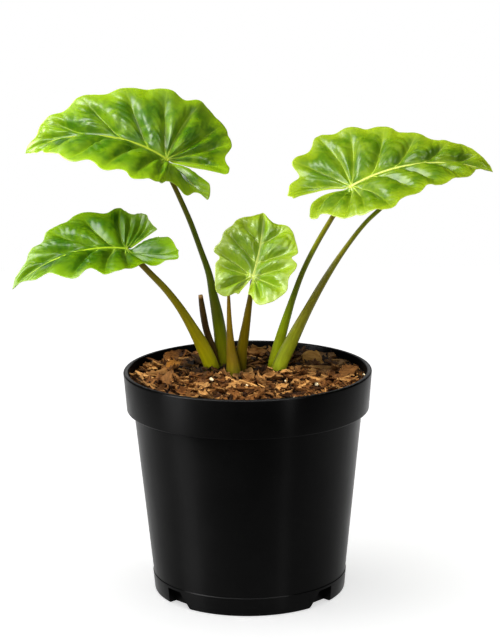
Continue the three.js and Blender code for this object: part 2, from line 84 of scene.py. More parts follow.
MIX = {"rim_height": 174.5, "crown": 2.5, "roughness": 1.1, "crumb": 1.3, "rings": 44}

BLADE = {
    "across_steps": 22, "out_steps": 54,
    "thickness": 0.6, "margin_thickness": 0.36, "brim": 0.16,
    "rib_taper": 0.72, "ridge": 0.42, "veinlet": 0.55, "veinlet_width": 0.7,
    "lobe_edge": 0.14, "lobe_round": 0.3, "lobe_lift_width": 30,
    "vein_arch": 0.09, "dip_sharpness": 2.6,
    "pucker": 0.14, "crease": 2.5, "crease_width": 3.3, "ruffle": 0.3, "ruffle_width": 22,
    "branch_slant": 1.25, "branch_spread": 0.8, "quilt_sharpness": 1.2, "quilt_sink": 0.4,
    "quilt_on_lobe": 0.6, "quilt_lost_at_margin": 0.7,
    "wobble": 0.9, "wobble_scale": 0.06,
}

# Each leaf's junction is where blade, midrib and stalk meet. The blade points towards heading,
# climbs at the junction and droops towards the tip. left and right list where the side veins reach
# the margin, as (along the midrib, out from it). quilt is the spacing and the height of the small
# bulges between the branch veins.
LEAVES = {
    "top_left": {
        "junction": (-63, 14, 350), "length": 118, "heading": 182, "climb": 36,
        "droop": 65, "sweep": -3, "roll": -23, "twist": -15, "fold": (27, 25), "curl": (23, 1.5),
        "lobe_droop": -55, "lobe_twist": 13, "lobe_fold": (-108, -39), "rib_radius": 2.1,
        "vein_roots": (16, 38, 66, 85), "quilt": (9, 1.3),
        "left": {
            "lobe": (-26, 2.5), "bow": 0.12, "rise": 0.03, "lobe_lift": 3.5,
            "ends": ((-40.5, 19.5), (-31, 19.5), (-10.5, 35), (0, 62.5), (20, 71.5), (47.5, 64.5),
                     (78.5, 47), (99.5, 21), (108, 12.5)),
            "dips": (0, -5.5, 0.5, 2, 7, 6, 2, 3, -1),
        },
        "right": {
            "lobe": (-44.5, 8), "bow": -0.05, "rise": -0.05, "lobe_lift": 4.5,
            "ends": ((-53, 16), (-52.5, 47.5), (-39.5, 64), (-1.5, 68.5), (20.5, 59.5), (44, 47),
                     (70.5, 35), (94.5, 20.5), (105, 9)),
            "dips": (6, 1.5, -1, 5.5, 1.5, 3, 4, -1, -2),
        },
    },
    "low_left": {
        "junction": (-95, -13, 283.5), "length": 98, "heading": 193, "climb": 10,
        "droop": 54, "sweep": -2, "roll": -14, "twist": -6, "fold": (14, 15), "curl": (16, 10),
        "lobe_droop": -120, "lobe_twist": 8, "lobe_fold": (0, 0), "rib_radius": 2,
        "vein_roots": (8, 20, 38, 57), "quilt": (8, 1.25),
        "left": {
            "lobe": (-29, 3), "bow": 0.73, "rise": 0.1, "lobe_lift": 6,
            "ends": ((-28.5, 5), (-35, 30.5), (-31, 42), (-15.5, 41.5), (3, 48), (25, 54.5),
                     (52, 46), (79, 15.5), (85.5, 6)),
            "dips": (-4, 1, 1.5, 3, -2.5, 8, 1, -1.5, 1.5),
        },
        "right": {
            "lobe": (-30, 12.5), "bow": -0.16, "rise": 0, "lobe_lift": 4,
            "ends": ((-32.5, 15), (-31.5, 29.5), (-30, 41), (-16.5, 48), (-1.5, 60.5), (28, 48.5),
                     (53, 35), (69.5, 23), (77.5, 13.5)),
            "dips": (0.5, -1.5, -0.5, 1, 8, 2.5, 5, -0.5, -1.5),
        },
    },
    "right": {
        "junction": (84.5, 18, 326.5), "length": 118, "heading": 6, "climb": 29,
        "droop": 49, "sweep": -2, "roll": 17, "twist": 13, "fold": (14, 16), "curl": (5, 15),
        "lobe_droop": -15, "lobe_twist": 10, "lobe_fold": (35, -39), "rib_radius": 2.1,
        "vein_roots": (17.5, 36.5, 60, 82), "quilt": (8.5, 1.25),
        "left": {
            "lobe": (-43.5, 12), "bow": -0.12, "rise": -0.07, "lobe_lift": 8,
            "ends": ((-46.5, 14.5), (-45, 28.5), (-31.5, 55.5), (-1.5, 76), (20, 66.5), (41.5, 50.5),
                     (61.5, 35), (83, 24), (105, 15)),
            "dips": (-2.5, 8, 5.5, 4, 2, 2, 2, -3, -1.5),
        },
        "right": {
            "lobe": (-40, 13), "bow": 0.65, "rise": 0.04, "lobe_lift": 4,
            "ends": ((-37, 23), (-29, 24), (-19.5, 46), (-4, 62.5), (17.5, 69.5), (46, 55.5),
                     (68, 43.5), (94, 24), (104.5, 3.5)),
            "dips": (1, -0.5, 1.5, 1, 3, 4, 1.5, -0.5, 0),
        },
    },
    "rear": {
        "junction": (125, 58, 317), "length": 88, "heading": 78, "climb": 2,
        "droop": 22, "sweep": 0, "roll": -2, "twist": 5, "fold": (16, 21), "curl": (8, 4),
        "lobe_droop": -33, "lobe_twist": 5, "lobe_fold": (0, 0), "rib_radius": 1.8,
        "vein_roots": (13, 27, 45, 61), "quilt": (8.5, 1.1),
        "left": {
            "lobe": (-28.5, 15), "bow": 0.02, "rise": 0.02, "lobe_lift": 0.5,
            "ends": ((-31, 21), (-30, 29), (-21, 48), (0, 53), (16, 47), (31, 37), (48, 23),
                     (66, 15), (76, 10)),
            "dips": (2.5, 2.5, 2.5, 2.5, 2.5, 2.5, 2.5, 1, 1),
        },
        "right": {
            "lobe": (-27, 12.5), "bow": 0.07, "rise": 0.02, "lobe_lift": 0,
            "ends": ((-28.5, 17.5), (-24, 26), (-16, 42), (-1, 49), (11, 51), (31, 43), (49, 33),
                     (69, 19), (80, 5)),
            "dips": (1, 2.5, 2.5, 2.5, 2.5, 2.5, 2.5, 1, 1),
        },
    },
    "young": {
        "junction": (5, -14, 260.5), "length": 63.5, "heading": 69, "climb": 45,
        "droop": 5, "sweep": 20, "roll": 16, "twist": 2, "fold": (20, 15), "curl": (10, 15),
        "lobe_droop": 11, "lobe_twist": 2, "lobe_fold": (0, 0), "rib_radius": 1.2,
        "vein_roots": (12.5, 30.5), "quilt": (7.5, 1.2),
        "left": {
            "lobe": (-17, 6.5), "bow": 0, "rise": 0.02, "lobe_lift": -2,
            "ends": ((-18.5, 9.5), (-23, 24.5), (-2.5, 31), (11.5, 36), (31, 31.5), (47, 22)),
            "dips": (-2, 0, 4.5, 2, 1.5, 1),
        },
        "right": {
            "lobe": (-16.5, 1), "bow": 0.08, "rise": 0.01, "lobe_lift": 2.5,
            "ends": ((-18.5, 3.5), (-25.5, 13.5), (-10, 29), (15, 32), (29.5, 30.5), (50, 22)),
            "dips": (-0.5, -0.5, 3, 5.5, 0.5, 5),
        },
    },
}

# Each stem's route from inside the mix upwards, as (x, y, z, radius). The one of a leaf ends at the
# leaf's junction. sheath is the side of the stem, from the front towards the right, where the edge
# of its sheath runs up from the foot, and how far up.
STEMS = {
    "top_left_stalk": {
        "leaf": "top_left", "top_radius": 1.9, "sheath": (120, 0.35),
        "route": ((-20, 37, 132, 4.4), (-20.6, 37, 160, 5.6), (-21, 36.8, 180, 5.7),
                  (-21.7, 36, 198, 5.4), (-24.2, 34.5, 218, 4.8), (-27.6, 32.6, 237, 3.6),
                  (-30.6, 31, 254, 2.8), (-37, 27.6, 274.5, 2.3), (-45, 23.7, 298.5, 2.2),
                  (-54.6, 19.3, 322.5, 2.0), (-60.2, 16.5, 336, 1.9)),
    },
    "low_left_stalk": {
        "leaf": "low_left", "top_radius": 2.1, "sheath": (150, 0.4),
        "route": ((-25, 21, 132, 4.4), (-27, 20.6, 160, 5.8), (-29.2, 20.2, 178, 6.2),
                  (-36, 18.1, 196, 5.7), (-44.5, 14.2, 213.5, 4.3), (-54, 9.2, 231, 3.3),
                  (-65, 3.3, 247.5, 2.8), (-77, -2.6, 262, 2.5), (-86, -8.4, 273, 2.3)),
    },
    "right_stalk": {
        "leaf": "right", "top_radius": 1.9, "sheath": (200, 0.35),
        "route": ((20.6, 30.4, 132, 4.2), (21.2, 30.2, 160, 5.2), (22, 30, 178, 5.3),
                  (26.6, 29.3, 198.5, 4.4), (30, 28.7, 210.5, 3.8), (37.5, 27.1, 234.5, 2.6),
                  (46, 25.2, 257.5, 2.2), (57, 23, 280, 2.1), (69, 20.8, 301, 2.0),
                  (77, 19.4, 314.5, 1.9)),
    },
    "rear_stalk": {
        "leaf": "rear", "top_radius": 1.8, "sheath": (-62, 0.3),
        "route": ((22, 16, 132, 4.4), (23.4, 16.4, 160, 5.8), (25.4, 17, 178, 6.1),
                  (36.7, 20, 201.5, 5.3), (49.8, 25.4, 225.5, 3.7), (64, 32, 249, 2.8),
                  (80, 39.8, 271.5, 2.0), (97.5, 47.7, 292, 1.8), (111, 52.8, 303.5, 1.8)),
    },
    "young_stalk": {
        "leaf": "young", "top_radius": 1.5, "sheath": (170, 0.4),
        "route": ((-5.6, 8, 140, 3.4), (-5.6, 7.2, 160, 4.4), (-5.5, 6.6, 177, 4.4),
                  (-4.4, 3.8, 197, 4.3), (-2.6, 1.4, 208, 4.0), (-0.9, -1, 218.5, 3.4),
                  (0.8, -4, 230, 2.8), (2.3, -7.2, 240, 2.2), (3.6, -10.2, 249.5, 1.8)),
    },
    "new_shoot": {
        "sheath": (62, 0.9),
        "route": ((-9.4, -6.6, 140, 4.6), (-10.4, -6, 160, 6.1), (-11, -5.2, 177, 6.3),
                  (-11.8, -4.2, 188.5, 5.2), (-12.9, -3.8, 197, 4.0), (-13.6, -3.9, 207, 3.1),
                  (-14.2, -4.1, 223, 2.1), (-14.5, -4.3, 240, 1.4), (-14.5, -4.6, 254, 0.5)),
    },
    "cut_stub": {
        "sheath": (100, 0.5),
        "route": ((-26, 29, 150, 2.4), (-26, 29, 168, 2.7), (-26.2, 29.2, 180, 2.7),
                  (-28, 30, 191, 2.8), (-31.2, 31.2, 200, 2.8), (-33.6, 32, 208, 2.8),
                  (-35.6, 32.8, 219, 2.7), (-37, 33, 229, 2.3), (-37.8, 33, 236, 1.8)),
    },
}
STEM_SIDES = 28
STEM_STEPS = 72

# The edge of a stalk's sheath: a thin raised line, and beside it the stalk that it laps over.
SHEATH = {"line_width": 0.16, "line_rise": 0.05, "lap_width": 0.5, "lap_sink": 0.045, "fading": 0.6}

# The collar in which a stalk ends under its leaf, as a share of the midrib's radius.
COLLAR = {"size": 1.4, "steps": 5, "top": 0.4}
FIBRE_RADIUS = 5
WALK_STEPS = 105
FAR = 1000

# ---- Camera --------------------------------------------------------------------------------------

CAMERA_PLACE = Vector((2.3, -1700, 610)) * MM
CAMERA_AIM = Vector((2.3, 0, 221)) * MM
CAMERA_ROLL = -0.01  # radians
CAMERA_LENS = 121.94  # mm
SENSOR_HEIGHT = 36  # mm
FARTHEST_SEEN = 50  # metres


def add_camera():
    data = bpy.data.cameras.new("camera")
    data.sensor_fit = "VERTICAL"
    data.sensor_height = SENSOR_HEIGHT
    data.lens = CAMERA_LENS
    data.clip_end = FARTHEST_SEEN
    camera = bpy.data.objects.new("camera", data)
    forward = (CAMERA_AIM - CAMERA_PLACE).normalized()
    level = forward.cross(Vector((0, 0, 1))).normalized()
    upright = level.cross(forward)
    cosine, sine = math.cos(CAMERA_ROLL), math.sin(CAMERA_ROLL)
    right, up = level * cosine + upright * sine, upright * cosine - level * sine
    turned = Matrix((right, up, -forward)).transposed().to_4x4()
    camera.matrix_world = Matrix.Translation(CAMERA_PLACE) @ turned
    bpy.context.collection.objects.link(camera)
    bpy.context.scene.camera = camera


add_camera()


# ---- Meshes --------------------------------------------------------------------------------------

def mesh_object(name, points, faces, values=None, smooth=True):
    """Makes an object from millimetre points; values are its point attributes."""
    mesh = bpy.data.meshes.new(name)
    points = np.asarray(points, float) * MM
    mesh.from_pydata(points.tolist(), [], [list(map(int, face)) for face in faces])
    for label, data in (values or {}).items():
        data = np.asarray(data, float)
        kind = ("FLOAT", "value") if data.ndim == 1 else ("FLOAT_VECTOR", "vector")
        mesh.attributes.new(label, kind[0], "POINT").data.foreach_set(kind[1], data.ravel())
    if smooth:
        mesh.shade_smooth()
    piece = bpy.data.objects.new(name, mesh)
    bpy.context.collection.objects.link(piece)
    return piece


def loft(rings, start=None, end=None):
    """Joins rings of equal size, and closes both ends with a fan to a point."""
    size = len(rings[0])
    points = np.vstack([*rings, rings[0].mean(0) if start is None else start,
                        rings[-1].mean(0) if end is None else end])
    first, last = len(points) - 2, len(points) - 1
    top = (len(rings) - 1) * size
    faces = []
    for j in range(size):
        n = (j + 1) % size
        for i in range(len(rings) - 1):
            a, b = i * size + j, i * size + n
            faces.append((a, b, b + size, a + size))
        faces.append((first, n, j))
        faces.append((last, top + j, top + n))
    return points, faces


def circle(radius, height, sides):
    """A level ring of points around the Z axis."""
    angle = np.arange(sides) * 2 * math.pi / sides
    return np.stack([radius * np.cos(angle), radius * np.sin(angle), np.full(sides, float(height))], 1)


def rounded(profile, steps=5):
    """Rounds each corner (x, y, radius) of an open outline."""
    points = [np.array(profile[0][:2], float)]
    for before, corner, after in zip(profile, profile[1:], profile[2:]):
        here = np.array(corner[:2], float)
        into = np.array(before[:2], float) - here
        out = np.array(after[:2], float) - here
        into, out = into / np.linalg.norm(into), out / np.linalg.norm(out)
        half = math.acos(max(-1.0, min(1.0, into @ out))) / 2
        nearly_straight = half > math.radians(89)
        if corner[2] <= 0 or nearly_straight:
            points.append(here)
            continue
        reach = corner[2] / math.tan(half)
        bisector = (into + out) / np.linalg.norm(into + out)
        middle = here + bisector * corner[2] / math.sin(half)
        start, stop = here + into * reach - middle, here + out * reach - middle
        turn = math.atan2(start[0] * stop[1] - start[1] * stop[0], start @ stop)
        for k in range(steps + 1):
            a = turn * k / steps
            spin = np.array([[math.cos(a), -math.sin(a)], [math.sin(a), math.cos(a)]])
            points.append(middle + spin @ start)
    points.append(np.array(profile[-1][:2], float))
    return points


def prism(name, outline, start, end):
    """A prism for cutting: an outline in X and Z, drawn out along -Y from start to end."""
    count = len(outline)
    points = [(x, -y, z) for y in (start, end) for x, z in outline]
    faces = [tuple(range(count)), tuple(range(2 * count - 1, count - 1, -1))]
    faces += [(i, i + count, (i + 1) % count + count, (i + 1) % count) for i in range(count)]
    return mesh_object(name, points, faces, smooth=False)


def plain_mesh(piece):
    """Turns what the piece's modifiers make into its own plain mesh, and removes them."""
    depsgraph = bpy.context.evaluated_depsgraph_get()
    mesh = bpy.data.meshes.new_from_object(piece.evaluated_get(depsgraph))
    old = piece.data
    piece.modifiers.clear()
    piece.data = mesh
    mesh.name = piece.name
    bpy.data.meshes.remove(old)


def carve(piece, **tools):
    """Joins tool objects to a piece, cuts them out of it or keeps what they share, and removes them."""
    for operation, objects in tools.items():
        for tool in objects:
            fix_normals(tool)
            modifier = piece.modifiers.new(operation, "BOOLEAN")
            modifier.solver = "EXACT"
            modifier.operation = operation
            modifier.object = tool
    plain_mesh(piece)
    for tool in sum(tools.values(), []):
        bpy.data.objects.remove(tool)


def fix_normals(piece):
    shape = bmesh.new()
    shape.from_mesh(piece.data)
    bmesh.ops.recalc_face_normals(shape, faces=shape.faces)
    shape.to_mesh(piece.data)
    shape.free()


def crisp_edges(piece, degrees):
    """Shades a piece smooth, but for the edges at which it turns by more than an angle."""
    piece.data.shade_smooth()
    piece.data.set_sharp_from_angle(angle=math.radians(degrees))


def smoothstep(x, low, high):
    """0 up to low, 1 from high on, and a soft rise between them."""
    share = np.clip((x - low) / (high - low), 0, 1)
    return share * share * (3 - 2 * share)


def finish_piece(piece, finish, slot, *nodes):
    """Gives a piece its material and its body, and hides the CAD node that it stands for; slot is not
    used.
    """
    piece.data.materials.clear()
    piece.data.materials.append(finish)
    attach(piece, "root")
    if nodes:
        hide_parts(*nodes)
    return piece


# ---- Node trees ----------------------------------------------------------------------------------

class Tree:
    """Adds nodes to one node tree. An input is a value, or a socket that is linked to it."""

    def __init__(self, tree):
        self.tree = tree

    def feed(self, socket, value):
        if isinstance(value, bpy.types.NodeSocket):
            self.tree.links.new(value, socket)
        else:
            socket.default_value = value

    def node(self, kind, inputs=None, output=0, **settings):
        """Adds a node with its settings, and gives one of its outputs, or for None the node."""
        node = self.tree.nodes.new(kind)
        for key, value in settings.items():
            setattr(node, key, value)
        for key, value in (inputs or {}).items():
            self.feed(node.inputs[key], value)
        return node.outputs[output] if output is not None else node

    def math(self, operation, a, b):
        return self.node("ShaderNodeMath", {0: a, 1: b}, operation=operation)

    def plus(self, a, b):
        return self.math("ADD", a, b)

    def times(self, a, b):
        return self.math("MULTIPLY", a, b)

    def mix(self, factor, a, b, blend="MIX"):
        inputs = {0: factor, 6: a, 7: b}
        return self.node("ShaderNodeMix", inputs, 2, data_type="RGBA", blend_type=blend)

    def noise(self, vector, scale, detail=3.0, roughness=0.5, seed=None):
        inputs = {"Vector": vector, "Scale": scale, "Detail": detail, "Roughness": roughness}
        if seed is None:
            return self.node("ShaderNodeTexNoise", inputs, noise_dimensions="3D")
        return self.node("ShaderNodeTexNoise", {**inputs, "W": seed}, noise_dimensions="4D")

    def spread(self, value, low, high, start=0.0, stop=1.0, smooth=True):
        """Maps low to high onto start to stop."""
        inputs = {"Value": value, "From Min": low, "From Max": high, "To Min": start, "To Max": stop}
        style = "SMOOTHSTEP" if smooth else "LINEAR"
        return self.node("ShaderNodeMapRange", inputs, interpolation_type=style)

    def scaled(self, vector, scale):
        return self.node("ShaderNodeMapping", {"Vector": vector, "Scale": scale})

    def attribute(self, name, output="Fac"):
        return self.node("ShaderNodeAttribute", None, output, attribute_name=name)

    def place(self):
        return self.node("ShaderNodeTexCoord", None, "Object")

    def group(self, group, inputs):
        return self.node("ShaderNodeGroup", inputs, None, node_tree=group).outputs

    def ramp(self, factor, stops):
        """Colours as a picture shows them, each at its place from 0 to 1."""
        node = self.node("ShaderNodeValToRGB", {0: factor}, None)
        band = node.color_ramp
        for k, (place, tone) in enumerate(stops):
            stop = band.elements[k] if k < 2 else band.elements.new(place)
            stop.position = place
            stop.color = colour(*tone)
        return node.outputs[0]

    def bump(self, height, distance):
        """A bumpy normal. distance is in metres."""
        return self.node("ShaderNodeBump", {"Height": height, "Distance": distance})


def colour(*tone):
    """A colour as a picture shows it, red, green and blue from 0 to 255, in linear light."""
    parts = [part / 255 for part in tone]
    linear = [((part + 0.055) / 1.055) ** 2.4 if part > 0.04 else part / 12.92 for part in parts]
    return (*linear, 1.0)


KINDS = {"value": "NodeSocketFloat", "colour": "NodeSocketColor", "vector": "NodeSocketVector"}


def shader_group(name, inputs, outputs, build):
    """A shader node group. inputs and outputs are {name: kind}, and build fills it."""
    group = bpy.data.node_groups.new(name, "ShaderNodeTree")
    for label, kind in inputs.items():
        group.interface.new_socket(label, in_out="INPUT", socket_type=KINDS[kind])
    for label, kind in outputs.items():
        group.interface.new_socket(label, in_out="OUTPUT", socket_type=KINDS[kind])
    tree = Tree(group)
    start = group.nodes.new("NodeGroupInput").outputs
    end = group.nodes.new("NodeGroupOutput").inputs
    for label, value in build(tree, start).items():
        tree.feed(end[label], value)
    return group


def material(name, build, **constants):
    """A material on one Principled BSDF. build returns what is linked to it, by socket name."""
    made = bpy.data.materials.new(name)
    made.use_nodes = True
    tree = Tree(made.node_tree)
    surface = made.node_tree.nodes["Principled BSDF"]
    for label, value in {**constants, **build(tree)}.items():
        tree.feed(surface.inputs[label], value)
    return made


# Soft patches of one colour in another, as growth, dust or wear leave them.
def build_patches(tree, given):
    soft = tree.noise(given["Vector"], given["Scale"], detail=4.0, roughness=0.6)
    mask = tree.spread(soft, 0.38, 0.66)
    mask = tree.times(mask, given["Amount"])
    return {"Colour": tree.mix(mask, given["Colour"], given["Patch colour"]), "Mask": mask}


PATCHES = shader_group(
    "Patches",
    {"Vector": "vector", "Scale": "value", "Amount": "value", "Colour": "colour",
     "Patch colour": "colour"},
    {"Colour": "colour", "Mask": "value"}, build_patches)


# Long fibres along a piece, from a vector attribute whose Z runs along them.
def build_fibres(tree, given):
    stretched = tree.node("ShaderNodeVectorMath", {0: given["Vector"], 1: (1.0, 1.0, 0.09)},
                          operation="MULTIPLY")
    coarse = tree.noise(stretched, given["Scale"], detail=2.0, seed=given["Seed"])
    fine = tree.noise(stretched, tree.times(given["Scale"], 3.1), roughness=0.6, seed=given["Seed"])
    both = tree.plus(tree.times(coarse, 0.6), tree.times(fine, 0.4))
    mask = tree.spread(both, 0.36, 0.66)
    return {"Mask": mask, "Colour": tree.mix(mask, given["Dark"], given["Light"]), "Height": both}


FIBRES = shader_group(
    "Fibres",
    {"Vector": "vector", "Scale": "value", "Seed": "value", "Dark": "colour", "Light": "colour"},
    {"Mask": "value", "Colour": "colour", "Height": "value"}, build_fibres)


# ---- Pot -----------------------------------------------------------------------------------------

BAND_FOOT_HEIGHT = POT["height"] - POT["band_height"]
SHOULDER_HEIGHT = BAND_FOOT_HEIGHT - POT["band_step_height"]
WALL_SLOPE = ((POT["wall_top_radius"] - POT["foot_line_radius"])
              / (BAND_FOOT_HEIGHT - POT["foot_line_height"]))
INNER_BAND_RADIUS = POT["rim_radius"] - POT["lip_width"]
MIX_RADIUS = INNER_BAND_RADIUS - GAP


def wall_radius(height):
    """The outer radius of the pot's tapered wall."""
    return POT["foot_line_radius"] + WALL_SLOPE * (height - POT["foot_line_height"])


def outer_profile():
    """The pot's outside from its middle below to its rim, as (radius, height, rounding)."""
    line_bottom = POT["foot_line_height"] - POT["foot_line_depth"]
    return [
        (0, 0, 0), (POT["foot_radius"], 0, POT["foot_round"]),
        (POT["foot_line_radius"], line_bottom, POT["foot_line_round"]),
        (POT["foot_line_radius"] - POT["foot_line_depth"], POT["foot_line_height"],
         POT["foot_line_round"]),
        (wall_radius(SHOULDER_HEIGHT), SHOULDER_HEIGHT, POT["shoulder_round"]),
        (POT["band_foot_radius"], SHOULDER_HEIGHT + POT["band_foot_slant"], POT["band_foot_round"]),
        (POT["rim_radius"], POT["height"], POT["lip_round"]),
    ]


def inner_profile(inset):
    """The pot's inside from the band to the floor, drawn in by an inset."""
    floor = POT["floor"] + inset
    return [
        (INNER_BAND_RADIUS - inset - POT["inner_draft"], BAND_FOOT_HEIGHT + POT["wall"], 0),
        (wall_radius(SHOULDER_HEIGHT) - POT["wall"] - inset, SHOULDER_HEIGHT, 0),
        (wall_radius(floor) - POT["wall"] - inset, floor, POT["floor_round"]),
    ]


def revolved(name, corners):
    """A round body from the (radius, height, rounding) of its corners."""
    profile = rounded(corners)
    rings = [circle(r, z, POT["sides"]) for r, z in profile[1:-1]]
    points, faces = loft(rings, (0, 0, profile[0][1]), (0, 0, profile[-1][1]))
    return mesh_object(name, points, faces)


def notch_block(grow, inner_radius):
    """The space of a foot notch, with one upright and one slanting side, at the pot's front."""
    width, height = NOTCH["half_width"] + grow, NOTCH["height"] + grow
    outline = [(-width, -1), (width, -1), (width, height), (NOTCH["short_top"] - grow, height)]
    return prism("notch_tool", outline, inner_radius, NOTCH["outer_reach"])


def drain_block():
    """The slot through which a notch drains the pot."""
    half, base = NOTCH["drain_width"] / 2, NOTCH["drain_base"]
    left, right = NOTCH["drain_offset"] - half, NOTCH["drain_offset"] + half
    outline = [(left, base), (right, base), (right, base + NOTCH["drain_height"]),
               (left, base + NOTCH["drain_height"])]
    middle, reach = NOTCH["depth_radius"], NOTCH["drain_length"] / 2
    return prism("drain_tool", outline, middle - reach, middle + reach)


def at_notches(block, *sizes):
    """A block for each of the four notches: mirrored to the left, and turned to the back."""
    tools = []
    for side in (1, -1):
        for turn in (0, math.pi):
            tool = block(*sizes)
            place = (Matrix.Rotation(turn, 4, "Z") @ Matrix.Diagonal((side, 1, 1, 1))
                     @ Matrix.Rotation(math.radians(NOTCH["middle_angle"]), 4, "Z"))
            tool.data.transform(place)
            tools.append(tool)
    return tools


def build_plastic(tree):
    place = tree.place()
    grain = tree.noise(place, scale=900.0, detail=2.0, roughness=0.6)
    cloud = tree.noise(place, scale=22.0, detail=4.0, roughness=0.6)
    drawn = tree.noise(tree.scaled(place, (160.0, 160.0, 2.0)), scale=1.0, detail=2.0)
    dusty = tree.group(PATCHES, {
        "Vector": place, "Scale": 34.0, "Amount": 0.35,
        "Colour": colour(5, 5, 5), "Patch colour": colour(9, 9, 9)})
    scuff = tree.noise(tree.scaled(place, (60.0, 60.0, 260.0)), scale=1.0, roughness=0.7)
    scuff = tree.times(tree.spread(scuff, 0.66, 0.8), 0.2)
    base = tree.mix(scuff, dusty["Colour"], colour(40, 40, 41))
    rough = tree.plus(tree.spread(cloud, 0.3, 0.7, 0.27, 0.33), tree.times(drawn, 0.06))
    height = tree.plus(grain, tree.times(drawn, 0.8))
    return {"Base Color": base, "Roughness": rough, "Normal": tree.bump(height, 0.00004)}


def notch_liners(gap=0):
    """The plastic around each notch, inside the pot."""
    return at_notches(notch_block, NOTCH["liner"] + gap, NOTCH["depth_radius"] - NOTCH["liner"] - gap)


def make_pot():
    pot = revolved("plastic_pot", [
        *outer_profile(), (INNER_BAND_RADIUS, POT["height"], POT["inner_lip_round"]),
        *inner_profile(0), (0, POT["floor"], 0)])
    liners = notch_liners()
    for liner in liners:
        filled_pot = revolved("pot_tool", [*outer_profile(), (0, POT["height"], 0)])
        carve(liner, INTERSECT=[filled_pot])
    openings = at_notches(notch_block, 0, NOTCH["depth_radius"]) + at_notches(drain_block)
    carve(pot, UNION=liners, DIFFERENCE=openings)
    crisp_edges(pot, degrees=32)
    plastic = material("black plastic", build_plastic, **{
        "IOR": 1.46, "Specular IOR Level": 0.05, "Anisotropic": 0.9, "Anisotropic Rotation": 0.25})
    return finish_piece(pot, plastic, "pot_plastic", "pot")


pot = make_pot()


# ---- Stems ---------------------------------------------------------------------------------------

def smooth_path(knots, per_span=24):
    """A smooth line through knots (x, y, z, radius), and the length along it."""
    knots = np.array(knots, float)
    padded = np.vstack([2 * knots[0] - knots[1], knots, 2 * knots[-1] - knots[-2]])
    line = []
    for k in range(1, len(padded) - 2):
        p = padded[k - 1:k + 3]
        d = [max(1e-4, math.sqrt(np.linalg.norm(p[i + 1, :3] - p[i, :3]))) for i in range(3)]
        start = ((p[1] - p[0]) / d[0] - (p[2] - p[0]) / (d[0] + d[1]) + (p[2] - p[1]) / d[1]) * d[1]
        stop = ((p[2] - p[1]) / d[1] - (p[3] - p[1]) / (d[1] + d[2]) + (p[3] - p[2]) / d[2]) * d[1]
        t = np.linspace(0, 1, per_span, endpoint=False)[:, None]
        line.append(p[1] + start * t + (3 * (p[2] - p[1]) - 2 * start - stop) * t**2
                    + (2 * (p[1] - p[2]) + start + stop) * t**3)
    line = np.vstack([*line, knots[-1:]])
    length = np.r_[0, np.cumsum(np.linalg.norm(np.diff(line[:, :3], axis=0), axis=1))]
    return line, length


def stem_rings(stem, grow=0.0, steps=STEM_STEPS, sides=STEM_SIDES):
    """The stem's rings, the attributes of each ring's points, and the direction of its end."""
    route = list(stem["route"])
    leaf = LEAVES.get(stem.get("leaf"))
    if leaf:
        midrib, junction = Midrib(leaf), np.array([0.0])
        _, up = midrib.frame(junction)
        seat = midrib.point(junction)[0] - up[0] * 0.5 * leaf["rib_radius"]
        route.append((*seat, stem["top_radius"]))
    line, length = smooth_path(route)
    at = np.linspace(0, length[-1], steps + 1)
    path = np.stack([np.interp(at, length, line[:, i]) for i in range(4)], 1)
    tangent = np.gradient(path[:, :3], axis=0)
    tangent /= np.linalg.norm(tangent, axis=1)[:, None]
    ahead = FRONT - tangent * (tangent @ FRONT)[:, None]
    ahead /= np.linalg.norm(ahead, axis=1)[:, None]
    beside = np.cross(tangent, ahead)
    soil = np.interp(MIX["rim_height"], path[:, 2], at)
    share = np.clip((at - soil) / (at[-1] - soil), 0, 1)
    angle = np.arange(sides) * 2 * math.pi / sides
    side, reach = stem["sheath"]
    away = (angle - math.radians(side) + math.pi) % (2 * math.pi) - math.pi
    line = np.exp(-(away / SHEATH["line_width"]) ** 2)
    lap = np.where(away > 0, np.exp(-away / SHEATH["lap_width"]), 0)
    turned = np.stack([np.cos(angle), np.sin(angle)], 1)
    rings, values = [], {"along": [], "sheath": [], "fibre": []}
    for k in range(steps + 1):
        drawn = 1 - smoothstep(share[k], SHEATH["fading"] * reach, reach)
        relief = SHEATH["line_rise"] * line * drawn - SHEATH["lap_sink"] * lap * drawn
        radius = path[k, 3] * (1 + relief) + grow
        rings.append(path[k, :3] + turned @ np.array([ahead[k], beside[k]]) * radius[:, None])
        values["along"].append(np.full(sides, share[k]))
        values["sheath"].append(line * drawn)
        values["fibre"].append(np.column_stack([turned * FIBRE_RADIUS, np.full(sides, at[k])]))
    return rings, values, tangent[-1]


def add_collar(rings, direction, radius):
    """Puts a round collar around a stem's end, flatter on top, and gives the rings and their end."""
    end = rings[-1].mean(0)
    around = (rings[-1] - end) / np.linalg.norm(rings[-1][0] - end)
    kept = len(rings) - 1
    while np.linalg.norm(rings[kept][0] - end) < radius:
        kept -= 1
    collar = []
    for k in range(1, 2 * COLLAR["steps"]):
        angle = math.pi / 2 * (k / COLLAR["steps"] - 1)
        rise = math.sin(angle) * (1 if angle < 0 else COLLAR["top"])
        collar.append(end + (around * math.cos(angle) + direction * rise) * radius)
    return rings[:kept] + collar, end + direction * radius * COLLAR["top"]


def make_stem(name, stem, finish):
    rings, values, direction = stem_rings(stem)
    start, end = rings[0].mean(0), rings[-1].mean(0)
    if "leaf" in stem:
        rings, end = add_collar(rings, direction, COLLAR["size"] * LEAVES[stem["leaf"]]["rib_radius"])
    points, faces = loft(rings, start, end)
    carried = {}
    for label, data in values.items():
        rows = [data[min(k, STEM_STEPS)] for k in range(len(rings))]
        carried[label] = np.concatenate([*rows, rows[0][:1], rows[-1][-1:]])
    piece = mesh_object(name + "_fine", points, faces, carried)
    return finish_piece(piece, finish, SLOTS[name], name)


# ---- Leaves --------------------------------------------------------------------------------------

